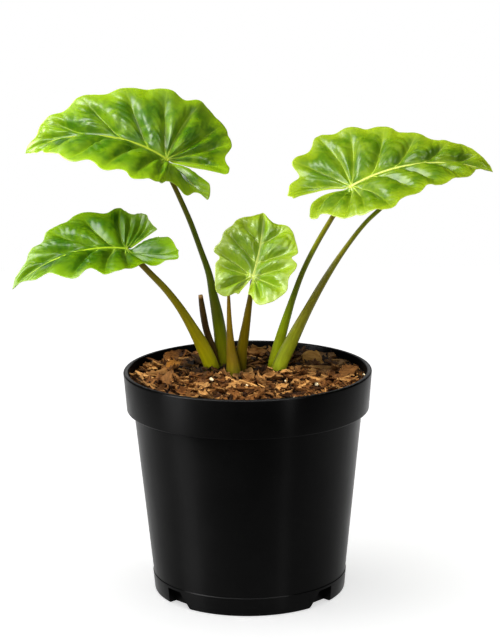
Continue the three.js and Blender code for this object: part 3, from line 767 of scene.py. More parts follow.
class Midrib:
    """The line of a leaf's midrib, walked in small steps both ways from the junction."""

    def __init__(self, leaf):
        self.leaf = leaf
        self.step = leaf["length"] / 100
        self.walks = {sign: self.walk(sign) for sign in (1, -1)}

    def heading(self, x):
        """Unit vectors along the midrib, and level to its left."""
        leaf, share = self.leaf, x / self.leaf["length"]
        pitch = np.radians(leaf["climb"] - np.where(x < 0, leaf["lobe_droop"], leaf["droop"]) * share)
        turn = np.radians(leaf["heading"] + np.where(x < 0, 0, leaf["sweep"]) * share)
        along = np.stack([np.cos(pitch) * np.cos(turn), np.cos(pitch) * np.sin(turn), np.sin(pitch)],
                         -1)
        level = np.stack([-np.sin(turn), np.cos(turn), np.zeros_like(turn)], -1)
        return along, level

    def walk(self, sign):
        along, _ = self.heading(sign * self.step * (np.arange(WALK_STEPS) + 0.5))
        steps = np.vstack([np.zeros(3), along * sign * self.step])
        return np.array(self.leaf["junction"], float) + np.cumsum(steps, 0)

    def point(self, x):
        ahead, behind = (
            np.stack([np.interp(np.abs(x) / self.step, np.arange(WALK_STEPS + 1), line)
                      for line in self.walks[sign].T], -1) for sign in (1, -1))
        return np.where((x < 0)[..., None], behind, ahead)

    def frame(self, x):
        """Unit vectors across the blade, to the left, and up from it."""
        along, level = self.heading(x)
        normal = np.cross(along, level)
        leaf = self.leaf
        roll = np.radians(leaf["roll"] + np.where(x < 0, leaf["lobe_twist"], leaf["twist"])
                          * x / leaf["length"])[..., None]
        return (level * np.cos(roll) + normal * np.sin(roll),
                normal * np.cos(roll) - level * np.sin(roll))


def surface_point(leaf, midrib, x, out, side, lift):
    """The point at x along the midrib and out to one side, on a half that folds up and curls down."""
    across, up = midrib.frame(x)
    half = 0 if side > 0 else 1
    behind = np.maximum(0, -x / leaf["length"])
    fold = np.radians(leaf["fold"][half] + leaf["lobe_fold"][half] * behind)
    bend = math.radians(leaf["curl"][half]) / (0.5 * leaf["length"])
    slope = fold - bend * out
    sideways = (np.sin(fold) - np.sin(slope)) / bend
    rise = (np.cos(slope) - np.cos(fold)) / bend
    return (midrib.point(x) + across * (side * (sideways - lift * np.sin(slope)))[..., None]
            + up * (rise + lift * np.cos(slope))[..., None])


def quadratic(root, end, arch, t):
    """An arched line in plan from root to end, at shares t of it."""
    root, end = np.array(root, float), np.array(end, float)
    chord = end - root
    middle = root + chord / 2 + np.array([-chord[1], chord[0]]) * arch
    t = t[:, None]
    return root * (1 - t) ** 2 + middle * 2 * t * (1 - t) + end * t**2


def spline(points, share):
    """A Catmull-Rom line through flat points, at shares of its knots."""
    points = np.array(points, float)
    place = np.clip(share, 0, 1) * (len(points) - 1)
    k = np.minimum(place.astype(int), len(points) - 2)
    t = (place - k)[:, None]
    before, after = points[np.maximum(k - 1, 0)], points[np.minimum(k + 2, len(points) - 1)]
    start, stop = (points[k + 1] - before) / 2, (after - points[k]) / 2
    return ((2 * (points[k] - points[k + 1]) + start + stop) * t**3
            + (3 * (points[k + 1] - points[k]) - 2 * start - stop) * t**2 + start * t + points[k])


def margin_points(knots, dips, panel, across):
    """The margin of one panel, round at the side veins' ends and with a dip between two of them.
    knots are a point on the sinus edge, its end, the lobe's round end, each side vein's end and the
    leaf's tip."""
    last = len(knots) - 1
    if panel == 0:
        return spline(knots, (1 + 2 * across) / last)
    start, stop = knots[panel + 2], knots[panel + 3]
    chord = (stop - start) / np.linalg.norm(stop - start)
    inward = np.array([-chord[1], chord[0]])
    if inward @ start > 0:
        inward = -inward
    dip = inward * dips[panel - 1]
    return (spline(knots, (panel + 2 + across) / last)
            + dip * np.sin(math.pi * across)[:, None] ** BLADE["dip_sharpness"])


def side_lines(leaf, side, out):
    """One half's lines in plan: its sinus edge, its side veins and the tip, and its margin's knots."""
    ends, bow, lobe = side["ends"], side["bow"], np.array(side["lobe"], float)
    at_junction = len(ends) - len(leaf["vein_roots"])
    roots = [(0, 0)] * at_junction + [(x, 0) for x in leaf["vein_roots"]]
    arches = [bow - BLADE["lobe_edge"]] + [-BLADE["vein_arch"]] * (len(ends) - 1)
    veins = [quadratic(root, end, arch, out) for root, end, arch in zip(roots, ends, arches)]
    veins.append(np.tile([leaf["length"], 0.0], (len(out), 1)))
    sinus = quadratic(roots[0], lobe, bow, out)
    across_lobe = np.array(ends[0], float) - lobe
    outward = np.array([across_lobe[1], -across_lobe[0]])
    heading = ends[0] - quadratic(roots[0], ends[0], arches[0], np.array([0.9]))[0]
    if outward @ heading < 0:
        outward = -outward
    capped = lobe + across_lobe / 2 + BLADE["lobe_round"] * outward
    before = quadratic(roots[0], lobe, bow, np.array([0.85]))[0]
    return [sinus, *veins], np.array([before, lobe, capped, *[vein[-1] for vein in veins]])


def half_blade(leaf, half, across, out):
    """One half in plan: for each panel between two side veins, its points, lift and distances."""
    side = leaf["left" if half == 0 else "right"]
    lines, knots = side_lines(leaf, side, out)
    last_panel = len(lines) - 2
    lobe_panels = len(side["ends"]) - len(leaf["vein_roots"]) + 1
    a, t = across[:, None, None], out[None, :, None]
    spacing, height = leaf["quilt"]
    panels = []
    for panel, (start, stop) in enumerate(zip(lines, lines[1:])):
        edge = margin_points(knots, side["dips"], panel, across)
        chord = start[-1] * (1 - across[:, None]) + stop[-1] * across[:, None]
        plan = start[None] * (1 - a) + stop[None] * a + (edge - chord)[:, None] * t**3
        width = np.linalg.norm(stop - start, axis=1)[None]
        aa, tt = across[:, None], out[None]

        # The panel arches up between its side veins.
        bulge = np.maximum(0, np.sin(math.pi * aa)) ** (0.8 + 1.6 * smoothstep(tt, 0.45, 1))
        by_margin = smoothstep(tt, 0.5, 1)
        lift = width * bulge * smoothstep(tt, 0, 0.4) * (
            BLADE["pucker"] * (1 - by_margin) + side["rise"] * by_margin)
        behind = smoothstep(-plan[..., 0], 0, -side["lobe"][0])
        behind = behind * (1 - smoothstep(plan[..., 1], 0, BLADE["lobe_lift_width"]))
        reach = np.linalg.norm(plan[:, -1] - plan[:, 0], axis=1)[:, None] * np.ones_like(tt)
        from_start, from_stop = aa * width, (1 - aa) * width
        if panel == last_panel:
            from_stop = np.full_like(from_start, FAR)
        nearest = from_stop if panel == 0 else np.minimum(from_start, from_stop)
        out_from_rib = np.hypot(np.minimum(plan[..., 0], 0), plan[..., 1])

        # Small bulges lie in rows between the branch veins, which leave the side veins at a slant.
        phase = 0.37 * panel + 0.61 * half
        bend = 0.25 * np.sin(tt * 9 + 2.1 * panel) + 0.2 * np.sin(aa * 11 + tt * 5 + panel)
        rows = [(tt * reach - BLADE["branch_slant"] * d) / spacing + shift + bend
                for d, shift in ((from_start, phase), (np.minimum(from_stop, width), phase + 0.45))]
        turned = smoothstep(aa, 0.3, 0.7) if panel < last_panel else 0 * aa
        waves = [np.abs(np.sin(math.pi * row)) for row in rows]
        wave = waves[0] * (1 - turned) + waves[1] * turned
        sure = (smoothstep(tt * reach, 3, 14) * smoothstep(width, 7, 20)
                * np.maximum(0, np.sin(math.pi * aa)) ** 0.6
                * (BLADE["quilt_on_lobe"] if panel < lobe_panels else 1))
        uneven = 0.8 + 0.4 * np.sin(tt * 9 + 3 * aa + 1.7 * panel + 2 * half) * np.cos(aa * 4 + panel)
        lift = lift + (height * uneven * sure * (wave ** BLADE["quilt_sharpness"] - BLADE["quilt_sink"])
                       * (1 - BLADE["quilt_lost_at_margin"] * smoothstep(tt, 0.8, 1)))

        # The blade sinks along its side veins, and its edge waves.
        crease = np.exp(-(nearest / BLADE["crease_width"]) ** 2)
        crease = crease * smoothstep(tt, 0.02, 0.2) * (1 - smoothstep(tt, 0.55, 1))
        lift = lift - BLADE["crease"] * crease
        ruffle = np.sin(2 * math.pi * (2.3 * aa + 0.31 * panel)) * np.sin(math.pi * aa)
        ruffle = ruffle * smoothstep(tt, 0.6, 1) * np.minimum(1, width / BLADE["ruffle_width"])
        lift = lift + BLADE["ruffle"] * ruffle
        lift = lift * smoothstep(out_from_rib, 1, 6) + side["lobe_lift"] * behind
        margin = (1 - tt) * reach
        if panel == 0:
            margin = np.minimum(margin, from_start)
        panels.append({
            "plan": plan, "lift": lift, "vein": nearest, "margin": margin,
            "branch": np.arcsin(np.clip(wave, 0, 1)) / math.pi * spacing * BLADE["branch_spread"],
            "out": tt * np.ones_like(aa),
        })
    return panels


def blade_grid(leaf):
    """The blade's middle surface as points, faces and values. Panels share the points on a line
    between them."""
    steps = np.linspace(0, 1, BLADE["across_steps"] + 1)
    across = 0.5 * steps + 0.5 * (0.5 - 0.5 * np.cos(math.pi * steps))
    out = np.linspace(0, 1, BLADE["out_steps"] + 1) ** 1.35
    midrib = Midrib(leaf)
    found, points, faces = {}, [], []
    values = {label: [] for label in ("vein", "margin", "branch", "out", "rib", "x")}
    last_i, last_j = len(across) - 1, len(out) - 1
    for half, side in ((0, 1), (1, -1)):
        panels = half_blade(leaf, half, across, out)
        for k, panel in enumerate(panels):
            x, y = panel["plan"][..., 0], panel["plan"][..., 1]
            place = surface_point(leaf, midrib, x, y, side, panel["lift"])
            index = np.zeros(x.shape, int)
            for i in range(len(across)):
                for j in range(len(out)):
                    if k == len(panels) - 1 and i == last_i:
                        key = "tip"
                    elif j == 0:
                        key = ("rib", round(float(x[i, 0]), 4))
                    elif i == 0:
                        key = (half, k - 1, j)
                    elif i == last_i:
                        key = (half, k, j)
                    else:
                        key = (half, k, i, j)
                    if key not in found:
                        found[key] = len(points)
                        points.append(place[i, j])
                        for label in ("vein", "margin", "branch", "out"):
                            values[label].append(panel[label][i, j])
                        values["rib"].append(abs(y[i, j]))
                        values["x"].append(x[i, j])
                    index[i, j] = found[key]
            for i in range(last_i):
                for j in range(last_j):
                    corners = [index[i, j], index[i, j + 1], index[i + 1, j + 1], index[i + 1, j]]
                    if side > 0:
                        corners.reverse()
                    corners = [c for n, c in enumerate(corners) if c != corners[n - 1]]
                    if len(set(corners)) > 2:
                        faces.append(corners)
    return np.array(points), faces, {label: np.array(data) for label, data in values.items()}


def blade_normals(points, faces):
    """The unit normal of a sheet at each of its points."""
    total = np.zeros_like(points)
    for face in faces:
        p = points[face]
        normal = np.cross(p[2] - p[0], p[-1] - p[1] if len(face) == 4 else p[1] - p[0])
        if len(face) == 3:
            normal = -normal
        total[face] += normal
    return total / np.maximum(np.linalg.norm(total, axis=1), 1e-9)[:, None]


def make_leaf(name, leaf, finish):
    middle, faces, values = blade_grid(leaf)
    wobble = np.array([noise.noise(Vector(point * BLADE["wobble_scale"])) for point in middle])
    wobble = wobble * BLADE["wobble"] * smoothstep(values["out"], 0.05, 0.5)
    middle = middle + blade_normals(middle, faces) * wobble[:, None]
    normals = blade_normals(middle, faces)

    # The blade's thickness on both sides of its middle, with a midrib, its keel and raised veins.
    share = values["x"] / leaf["length"]
    radius = leaf["rib_radius"] * (1 - BLADE["rib_taper"] * np.clip(share, 0, 1))
    ahead = smoothstep(values["x"], -1.0, 1.0) * (1 - smoothstep(share, 0.94, 1))
    thin, thick = BLADE["margin_thickness"] / 2, BLADE["thickness"] / 2
    half = thin + (thick - thin) * smoothstep(values["margin"], 0, 5)
    beside = values["rib"] / radius
    ridge = BLADE["ridge"] * radius * np.cos(math.pi / 2 * np.clip(beside / 0.8, 0, 1)) ** 2 * ahead
    keel = radius * (0.5 + np.sqrt(np.maximum(0, 1 - beside**2))) * (beside < 1) * ahead
    keel = keel * (1 - smoothstep(share, 0.55, 0.9))
    veinlet = BLADE["veinlet"] * np.exp(-(values["vein"] / BLADE["veinlet_width"]) ** 2)
    veinlet = veinlet * (1 - 0.75 * values["out"])
    raised = middle + normals * (half + ridge)[:, None]
    under = middle - normals * (half + np.maximum(keel, veinlet))[:, None]
    count = len(middle)

    # The two sides meet in a brim around the margin.
    edges = {(face[i - 1], face[i]) for face in faces for i in range(len(face))}
    rim = [edge for edge in edges if (edge[1], edge[0]) not in edges]
    outward = np.zeros_like(middle)
    for a, b in rim:
        push = np.cross(middle[b] - middle[a], normals[a])
        outward[a] += push
        outward[b] += push
    on_rim = sorted({corner for edge in rim for corner in edge})
    place = {corner: 2 * count + k for k, corner in enumerate(on_rim)}
    lengths = np.maximum(np.linalg.norm(outward[on_rim], axis=1), 1e-9)[:, None]
    brim = middle[on_rim] + outward[on_rim] / lengths * BLADE["brim"]
    points = np.vstack([raised, under, brim])
    shell = list(faces) + [[c + count for c in reversed(face)] for face in faces]
    for a, b in rim:
        shell.append([b, a, place[a], place[b]])
        shell.append([place[b], place[a], a + count, b + count])

    # The midrib's colour ends at the junction, and fades out before the tip.
    values["rib"] = beside + 1.5 * np.maximum(0, -values.pop("x")) + smoothstep(share, 0.8, 0.95)
    carried = {label: np.concatenate([data, data, data[on_rim]]) for label, data in values.items()}
    carried["underside"] = np.concatenate([np.zeros(count), np.ones(count), np.zeros(len(on_rim))])
    piece = mesh_object(name + "_blade", points, shell, carried)
    return finish_piece(piece, finish, SLOTS[name + "_leaf"], name + "_leaf")


SLOTS = {f"{name}_leaf": f"{name}_blade" for name in LEAVES} | {
    "top_left_stalk": "olive_stalk", "low_left_stalk": "brown_stalk", "right_stalk": "green_stalk",
    "rear_stalk": "pale_stalk", "young_stalk": "young_stalk", "new_shoot": "new_shoot",
    "cut_stub": "dry_stub",
}


# A blade's colours from the distances that its mesh carries: dark between the veins, paler towards
# the margin, with pale veins, a painted sheen of brighter green beside them, a paler midrib and a thin
# yellow-green edge.
def build_blade_pattern(tree, given):
    place = tree.place()
    drift = tree.noise(place, scale=55.0, detail=3.0, roughness=0.55)
    fine = tree.noise(place, scale=260.0, detail=0.0, roughness=0.5)
    inwards = tree.plus(given["Margin distance"], tree.times(drift, 8.0))
    towards = tree.spread(inwards, 20.0, 3.0)
    base = tree.mix(tree.times(towards, 0.75), given["Deep"], given["Bright"])
    clouded = tree.group(PATCHES, {"Vector": place, "Scale": 70.0, "Amount": 0.45,
                                   "Colour": base, "Patch colour": given["Bright"]})
    valley = tree.spread(given["Branch distance"], 0.9, 0.0)
    base = tree.mix(tree.times(valley, 0.12), clouded["Colour"], given["Pale"])
    vein_width = tree.spread(given["Out"], 0.0, 1.0, 1.0, 0.4, smooth=False)
    near = tree.math("DIVIDE", given["Vein distance"], vein_width)
    # Painted sheen: brighter green beside each vein, where the slopes of the creases catch the light.
    painted_vein_sheen = tree.spread(near, 3.0, 0.3)
    base = tree.mix(tree.times(painted_vein_sheen, 0.25), base, given["Bright"])
    core = tree.times(tree.spread(near, 0.8, 0.2), tree.spread(given["Out"], 0.05, 0.85, 0.9, 0.15))
    base = tree.mix(core, base, given["Pale"])
    rib = tree.times(tree.spread(given["Rib distance"], 1.05, 0.6), 0.95)
    base = tree.mix(rib, base, given["Rib"])
    rim = tree.times(tree.spread(given["Margin distance"], 1.0, 0.2), 0.3)
    base = tree.mix(rim, base, given["Rib"])
    base = tree.mix(tree.times(given["Underside"], 0.55), base, given["Pale"])
    rough = tree.spread(drift, 0.3, 0.7, 0.27, 0.35)
    return {"Colour": base, "Height": fine, "Roughness": rough}


BLADE_PATTERN = shader_group(
    "Blade pattern",
    {"Vein distance": "value", "Branch distance": "value", "Margin distance": "value",
     "Rib distance": "value", "Out": "value", "Underside": "value", "Deep": "colour",
     "Bright": "colour", "Pale": "colour", "Rib": "colour"},
    {"Colour": "colour", "Height": "value", "Roughness": "value"}, build_blade_pattern)

BLADE_COLOURS = {
    "top_left": {"Deep": (62, 106, 0), "Bright": (144, 178, 2), "Pale": (172, 194, 66),
                 "Rib": (184, 204, 50)},
    "low_left": {"Deep": (46, 90, 0), "Bright": (114, 150, 0), "Pale": (156, 186, 64),
                 "Rib": (168, 198, 38)},
    "right": {"Deep": (76, 112, 2), "Bright": (144, 168, 18), "Pale": (180, 200, 84),
              "Rib": (210, 220, 112)},
    "rear": {"Deep": (58, 104, 2), "Bright": (112, 152, 14), "Pale": (166, 192, 70),
             "Rib": (180, 200, 64)},
    "young": {"Deep": (106, 144, 6), "Bright": (156, 182, 24), "Pale": (186, 204, 88),
              "Rib": (194, 208, 84)},
}

# How strongly each blade mirrors the soft boxes.
BLADE_SHINE = {"top_left": 0.9, "low_left": 0.5, "right": 0.57, "rear": 0.6, "young": 1.0}


def blade_material(name):
    def build(tree):
        tones = {label: colour(*tone) for label, tone in BLADE_COLOURS[name].items()}
        parts = {"Vein distance": "vein", "Branch distance": "branch", "Margin distance": "margin",
                 "Rib distance": "rib", "Out": "out", "Underside": "underside"}
        pattern = tree.group(BLADE_PATTERN, {
            **tones, **{label: tree.attribute(source) for label, source in parts.items()}})
        return {"Base Color": pattern["Colour"], "Roughness": pattern["Roughness"],
                "Normal": tree.bump(pattern["Height"], 0.00006)}
    return material(f"{name.replace('_', ' ')} blade", build, **{
        "Subsurface Weight": 0.3, "Subsurface Radius": (1.0, 1.0, 0.1), "Subsurface Scale": 0.002,
        "Specular IOR Level": BLADE_SHINE[name]})


STALK_COLOURS = {
    "top_left_stalk": [(0, (152, 156, 10)), (0.25, (80, 96, 0)), (0.6, (72, 90, 0)),
                       (0.9, (84, 82, 2))],
    "low_left_stalk": [(0, (178, 180, 14)), (0.18, (180, 168, 10)), (0.35, (152, 142, 6)),
                       (0.9, (100, 88, 6))],
    "right_stalk": [(0, (192, 208, 18)), (0.3, (112, 136, 2)), (0.6, (102, 118, 2)),
                    (0.9, (122, 112, 8))],
    "rear_stalk": [(0, (178, 198, 36)), (0.22, (142, 144, 18)), (0.45, (112, 108, 4)),
                   (0.75, (112, 124, 6))],
    "young_stalk": [(0, (96, 90, 2)), (0.3, (120, 104, 0)), (0.7, (106, 92, 2)),
                    (0.95, (88, 78, 6))],
    "new_shoot": [(0, (112, 124, 4)), (0.2, (150, 124, 2)), (0.6, (150, 122, 8)),
                  (0.95, (136, 104, 20)), (1, (120, 92, 24))],
    "cut_stub": [(0, (84, 62, 14)), (0.4, (74, 50, 16)), (0.8, (62, 40, 16)), (0.95, (58, 38, 16)),
                 (0.985, (196, 150, 96))],
}


def stalk_material(name):
    leaf_of_stalk = STEMS[name].get("leaf")

    def build(tree):
        along = tree.attribute("along")
        fibre = tree.attribute("fibre", "Vector")
        stops = list(STALK_COLOURS[name])
        if leaf_of_stalk:
            stops += [(0.965, stops[-1][1]), (0.995, BLADE_COLOURS[leaf_of_stalk]["Rib"])]
        base = tree.ramp(along, stops)
        fibres = tree.group(FIBRES, {
            "Vector": fibre, "Scale": 0.55, "Seed": 0.0,
            "Dark": (0.85, 0.85, 0.85, 1.0), "Light": (1.14, 1.14, 1.1, 1.0)})
        base = tree.mix(1.0, base, fibres["Colour"], "MULTIPLY")
        blush = tree.group(PATCHES, {
            "Vector": tree.place(), "Scale": 30.0, "Amount": 0.35,
            "Colour": base, "Patch colour": colour(104, 82, 26)})
        edge = tree.spread(tree.attribute("sheath"), 0.55, 0.95)
        base = tree.mix(tree.times(edge, 0.6), blush["Colour"], colour(92, 70, 30))
        return {"Base Color": base, "Roughness": tree.spread(fibres["Mask"], 0.0, 1.0, 0.34, 0.46),
                "Normal": tree.bump(fibres["Height"], 0.00025)}
    return material(name.replace("_", " "), build, **{
        "Subsurface Weight": 0.15, "Subsurface Radius": (1.0, 1.0, 0.2), "Subsurface Scale": 0.002,
        "Specular IOR Level": 0.22})


for leaf_name, leaf_measures in LEAVES.items():
    make_leaf(leaf_name, leaf_measures, blade_material(leaf_name))
for stem_name, stem_measures in STEMS.items():
    make_stem(stem_name, stem_measures, stalk_material(stem_name))


# ---- Potting mix ---------------------------------------------------------------------------------

def mix_height(x, y):
    """The mix's height: crowned in the middle, with low humps."""
    share = np.minimum(1, np.hypot(x, y) / MIX_RADIUS)
    humps = np.sin(x * 0.19 + 1) * np.cos(y * 0.23) + 0.6 * np.sin(x * 0.41 - y * 0.37)
    humps = MIX["roughness"] * humps * (1 - share**6)
    return MIX["rim_height"] + MIX["crown"] * (1 - share**2) + humps


def crumbs(x, y):
    """Fine unevenness of the mix between the chips."""
    places = [Vector((a * 0.2, b * 0.2, 3.0)) for a, b in zip(x, y)]
    return np.array([noise.fractal(place, 0.8, 2.2, 4) for place in places])


def surface_ring(radius, crumb):
    """A ring on the mix, with its crumbs but for a smooth edge at the wall."""
    ring = circle(radius, 0, POT["sides"])
    fade = 1 - smoothstep(radius, MIX_RADIUS - 3, MIX_RADIUS)
    ring[:, 2] = mix_height(ring[:, 0], ring[:, 1]) + crumb * crumbs(ring[:, 0], ring[:, 1]) * fade
    return ring


def clear_of_neighbours(points):
    """Which points are clear of the pot's wall and of every stem."""
    clear = np.hypot(points[:, 0], points[:, 1]) < MIX_RADIUS - GAP
    for stem in STEMS.values():
        line, _ = smooth_path(stem["route"])
        x, y, radius = (np.interp(points[:, 2], line[:, 2], line[:, i]) for i in (0, 1, 3))
        clear &= np.hypot(points[:, 0] - x, points[:, 1] - y) > radius + GAP
    return clear


def build_soil(tree):
    place = tree.place()
    coarse = tree.noise(place, scale=260.0, detail=5.0, roughness=0.7)
    fine = tree.noise(place, scale=1100.0, detail=3.0, roughness=0.6)
    # Dark soil colours, made darker still as painted shade for the gaps between the chips, where this
    # body shows.
    base = tree.ramp(coarse, [(0.3, (16, 8, 3)), (0.48, (48, 28, 10)), (0.6, (84, 54, 22)),
                              (0.72, (122, 86, 42))])
    base = tree.mix(tree.spread(fine, 0.35, 0.7, 0.0, 0.5), base, colour(44, 26, 14))
    height = tree.plus(coarse, tree.times(fine, 0.5))
    return {"Base Color": base, "Normal": tree.bump(height, 0.0016)}


def make_mix():
    radii = MIX_RADIUS * (1 - np.arange(MIX["rings"]) / MIX["rings"])
    floor = [circle(r, z, POT["sides"]) for r, z, _ in reversed(inner_profile(GAP))]
    rings = floor + [surface_ring(r, MIX["crumb"]) for r in radii]
    points, faces = loft(rings)
    mix = mesh_object("bark_mix_body", points, faces)
    hollows = notch_liners(GAP)
    for stem in STEMS.values():
        rings, _, _ = stem_rings(stem, GAP, steps=24, sides=16)
        rings = [rings[0] - (0, 0, GAP), *rings[1:]]
        hollows.append(mesh_object("stem_tool", *loft(rings)))
    carve(mix, DIFFERENCE=hollows)
    crisp_edges(mix, degrees=50)
    soil = material("dark mix", build_soil, **{"Roughness": 0.95, "Specular IOR Level": 0.2})
    return finish_piece(mix, soil, "bark_mix", "potting_mix")


def flake(rng, length, width, thickness, curl, ragged, rows=7, columns=4):
    """A bark flake's points, faces and fibre direction: a thin sheet with ragged ends, bowed along
    and across, and wider at one end."""
    def rough(amount):
        return np.array([[rng.uniform(-amount, amount) for _ in range(columns + 1)]
                         for _ in range(rows + 1)])

    u, v = np.meshgrid(np.linspace(-1, 1, rows + 1), np.linspace(-1, 1, columns + 1), indexing="ij")
    taper = 1 - rng.uniform(0.2, 0.7) * np.abs(u) ** rng.uniform(1.2, 4)
    wedge = 1 + rng.uniform(-0.35, 0.35) * u
    lean = rng.uniform(-0.5, 0.5)
    x = u * length / 2 + ragged * rough(1) * np.abs(u) ** 2 + rng.uniform(-0.3, 0.3) * v * width
    y = v * width / 2 * taper * wedge + lean * width * u**2 * 0.5 + rough(0.1 * width)
    bow = curl * width * (u**2 * rng.uniform(0.1, 0.5) + v**2 * rng.uniform(0.0, 0.45)
                          + u * v * rng.uniform(-0.25, 0.25))
    top = bow + thickness / 2 + rough(0.25 * thickness)
    bottom = bow - thickness / 2 + rough(0.16 * thickness)
    points = np.vstack([np.stack([x, y, z], -1).reshape(-1, 3) for z in (top, bottom)])
    stride, count = columns + 1, (rows + 1) * (columns + 1)
    faces = []
    for i in range(rows):
        for j in range(columns):
            a = i * stride + j
            faces.append((a, a + stride, a + stride + 1, a + 1))
            faces.append((a + count, a + 1 + count, a + stride + 1 + count, a + stride + count))
    rim = list(range(stride)) + [i * stride + columns for i in range(1, rows + 1)]
    rim += [rows * stride + j for j in range(columns - 1, -1, -1)]
    rim += [i * stride for i in range(rows - 1, 0, -1)]
    faces += [(a, b, b + count, a + count) for a, b in zip(rim, rim[1:] + rim[:1])]
    fibre = np.stack([points[:, 1] + rng.uniform(0, 90), points[:, 2] * 1.5, points[:, 0]], 1)
    return points, faces, fibre


def pebble(rng, size, squash):
    """The points, faces and texture place of a crumb or a perlite grain: a lumpy ball of few faces."""
    rings = []
    sides = 7
    for k in range(1, 4):
        a = math.pi * k / 4
        ring = circle(math.sin(a) * size / 2, -math.cos(a) * size / 2 * squash, sides)
        rings.append(ring * np.array([[rng.uniform(0.75, 1.25)] * 3 for _ in range(sides)]))
    points, faces = loft(rings, (0, 0, -size / 2 * squash), (0, 0, size / 2 * squash))
    return points, faces, points


def variants(label, shapes):
    """A collection of small shapes to strew, each given as points, faces and fibre direction."""
    collection = bpy.data.collections.new(label)
    for k, (points, faces, fibre) in enumerate(shapes):
        piece = mesh_object(f"{label}_{k}", points, faces, {"fibre": fibre})
        bpy.context.collection.objects.unlink(piece)
        collection.objects.link(piece)
        fix_normals(piece)
        crisp_edges(piece, degrees=45)
    return collection


def set_down(name, shapes, finish):
    """One piece of single shapes, each given as (shape, x, y, raised, turn, tilt, pitch, tone)."""
    points, faces, fibres, tones = [], [], [], []
    for (own, own_faces, fibre), x, y, raised, turn, tilt, pitch, tone in shapes:
        turned = (Matrix.Rotation(math.radians(turn), 3, "Z")
                  @ Matrix.Rotation(math.radians(tilt), 3, "X")
                  @ Matrix.Rotation(math.radians(pitch), 3, "Y"))
        base = sum(len(part) for part in points)
        points.append(own @ np.array(turned).T + (x, y, float(mix_height(x, y)) + raised))
        faces += [[corner + base for corner in face] for face in own_faces]
        fibres.append(fibre)
        tones.append(np.full(len(own), tone))
    piece = mesh_object(name, np.vstack(points), faces,
                        {"fibre": np.vstack(fibres), "tone": np.concatenate(tones)})
    fix_normals(piece)
    crisp_edges(piece, degrees=45)
    return finish_piece(piece, finish, "bark_mix")


def drop_strays(piece):
    """Removes the strewn shapes that reach into the pot's wall or into a stem. A shape's points
    share one tone."""
    mesh = piece.data
    points = np.empty(len(mesh.vertices) * 3, np.float32)
    mesh.vertices.foreach_get("co", points)
    tones = np.empty(len(mesh.vertices), np.float32)
    mesh.attributes["tone"].data.foreach_get("value", tones)
    _, shape = np.unique(tones, return_inverse=True)
    stray = np.zeros(shape.max() + 1, bool)
    stray[shape[~clear_of_neighbours(points.reshape(-1, 3) / MM)]] = True
    edit = bmesh.new()
    edit.from_mesh(mesh)
    edit.verts.ensure_lookup_table()
    strays = [edit.verts[k] for k in np.flatnonzero(stray[shape])]
    bmesh.ops.delete(edit, geom=strays, context="VERTS")
    edit.to_mesh(mesh)
    edit.free()


def strewing_tree():
    """Geometry Nodes that strew a collection's shapes over a surface."""
    group = bpy.data.node_groups.new("Strewn over the mix", "GeometryNodeTree")
    sockets = {
        "Geometry": "Geometry", "Shapes": "Collection", "Density": "Float", "Chance": "String",
        "Smallest": "Float", "Largest": "Float", "Tilt": "Float", "Lowest": "Float",
        "Highest": "Float", "Seed": "Int", "Material": "Material",
    }
    for label, kind in sockets.items():
        group.interface.new_socket(label, in_out="INPUT", socket_type="NodeSocket" + kind)
    group.interface.new_socket("Geometry", in_out="OUTPUT", socket_type="NodeSocketGeometry")
    tree = Tree(group)
    given = group.nodes.new("NodeGroupInput").outputs
    end = group.nodes.new("NodeGroupOutput").inputs

    def vector(x, y, z):
        return tree.node("ShaderNodeCombineXYZ", {0: x, 1: y, 2: z})

    def drawn(kind, low, high, seed):
        """A random value between two, by the first of its sockets and its output."""
        first, output = {"FLOAT_VECTOR": (0, 0), "FLOAT": (2, 1)}[kind]
        inputs = {first: low, first + 1: high, "Seed": tree.plus(given["Seed"], seed)}
        return tree.node("FunctionNodeRandomValue", inputs, output, data_type=kind)

    chance = tree.node("GeometryNodeInputNamedAttribute", {"Name": given["Chance"]}, "Attribute",
                       data_type="FLOAT")
    scattered = tree.node("GeometryNodeDistributePointsOnFaces", {
        "Mesh": given["Geometry"], "Seed": given["Seed"],
        "Density": tree.times(given["Density"], chance)})
    rise = drawn("FLOAT", given["Lowest"], given["Highest"], 1)
    raised = tree.node("GeometryNodeSetPosition", {
        "Geometry": scattered, "Offset": vector(0.0, 0.0, rise)})
    lowest = tree.times(given["Tilt"], -1.0)
    turned = drawn("FLOAT_VECTOR", vector(lowest, lowest, 0.0),
                   vector(given["Tilt"], given["Tilt"], 2 * math.pi), 2)
    shapes = tree.node("GeometryNodeCollectionInfo", {
        "Collection": given["Shapes"], "Separate Children": True, "Reset Children": True})
    placed = tree.node("GeometryNodeInstanceOnPoints", {
        "Points": raised, "Instance": shapes, "Pick Instance": True,
        "Rotation": turned, "Scale": drawn("FLOAT", given["Smallest"], given["Largest"], 3)})
    toned = tree.node("GeometryNodeStoreNamedAttribute", {
        "Geometry": placed, "Name": "tone", "Value": drawn("FLOAT", 0.0, 1.0, 4)},
        data_type="FLOAT", domain="INSTANCE")
    real = tree.node("GeometryNodeRealizeInstances", {"Geometry": toned})
    tree.feed(end["Geometry"], tree.node("GeometryNodeSetMaterial", {
        "Geometry": real, "Material": given["Material"]}))
    return group


def strew(name, emitter, group, finish, **inputs):
    """One piece of shapes strewn by the node tree. inputs are the tree's own, by name."""
    piece = bpy.data.objects.new(name, emitter.copy())
    bpy.context.collection.objects.link(piece)
    modifier = piece.modifiers.new("strewn", "NODES")
    modifier.node_group = group
    for label, value in {**inputs, "Material": finish}.items():
        for item in group.interface.items_tree:
            if item.item_type == "SOCKET" and item.in_out == "INPUT" and item.name == label:
                modifier[item.identifier] = value
    plain_mesh(piece)
    drop_strays(piece)
    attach(piece, "root")
    return piece


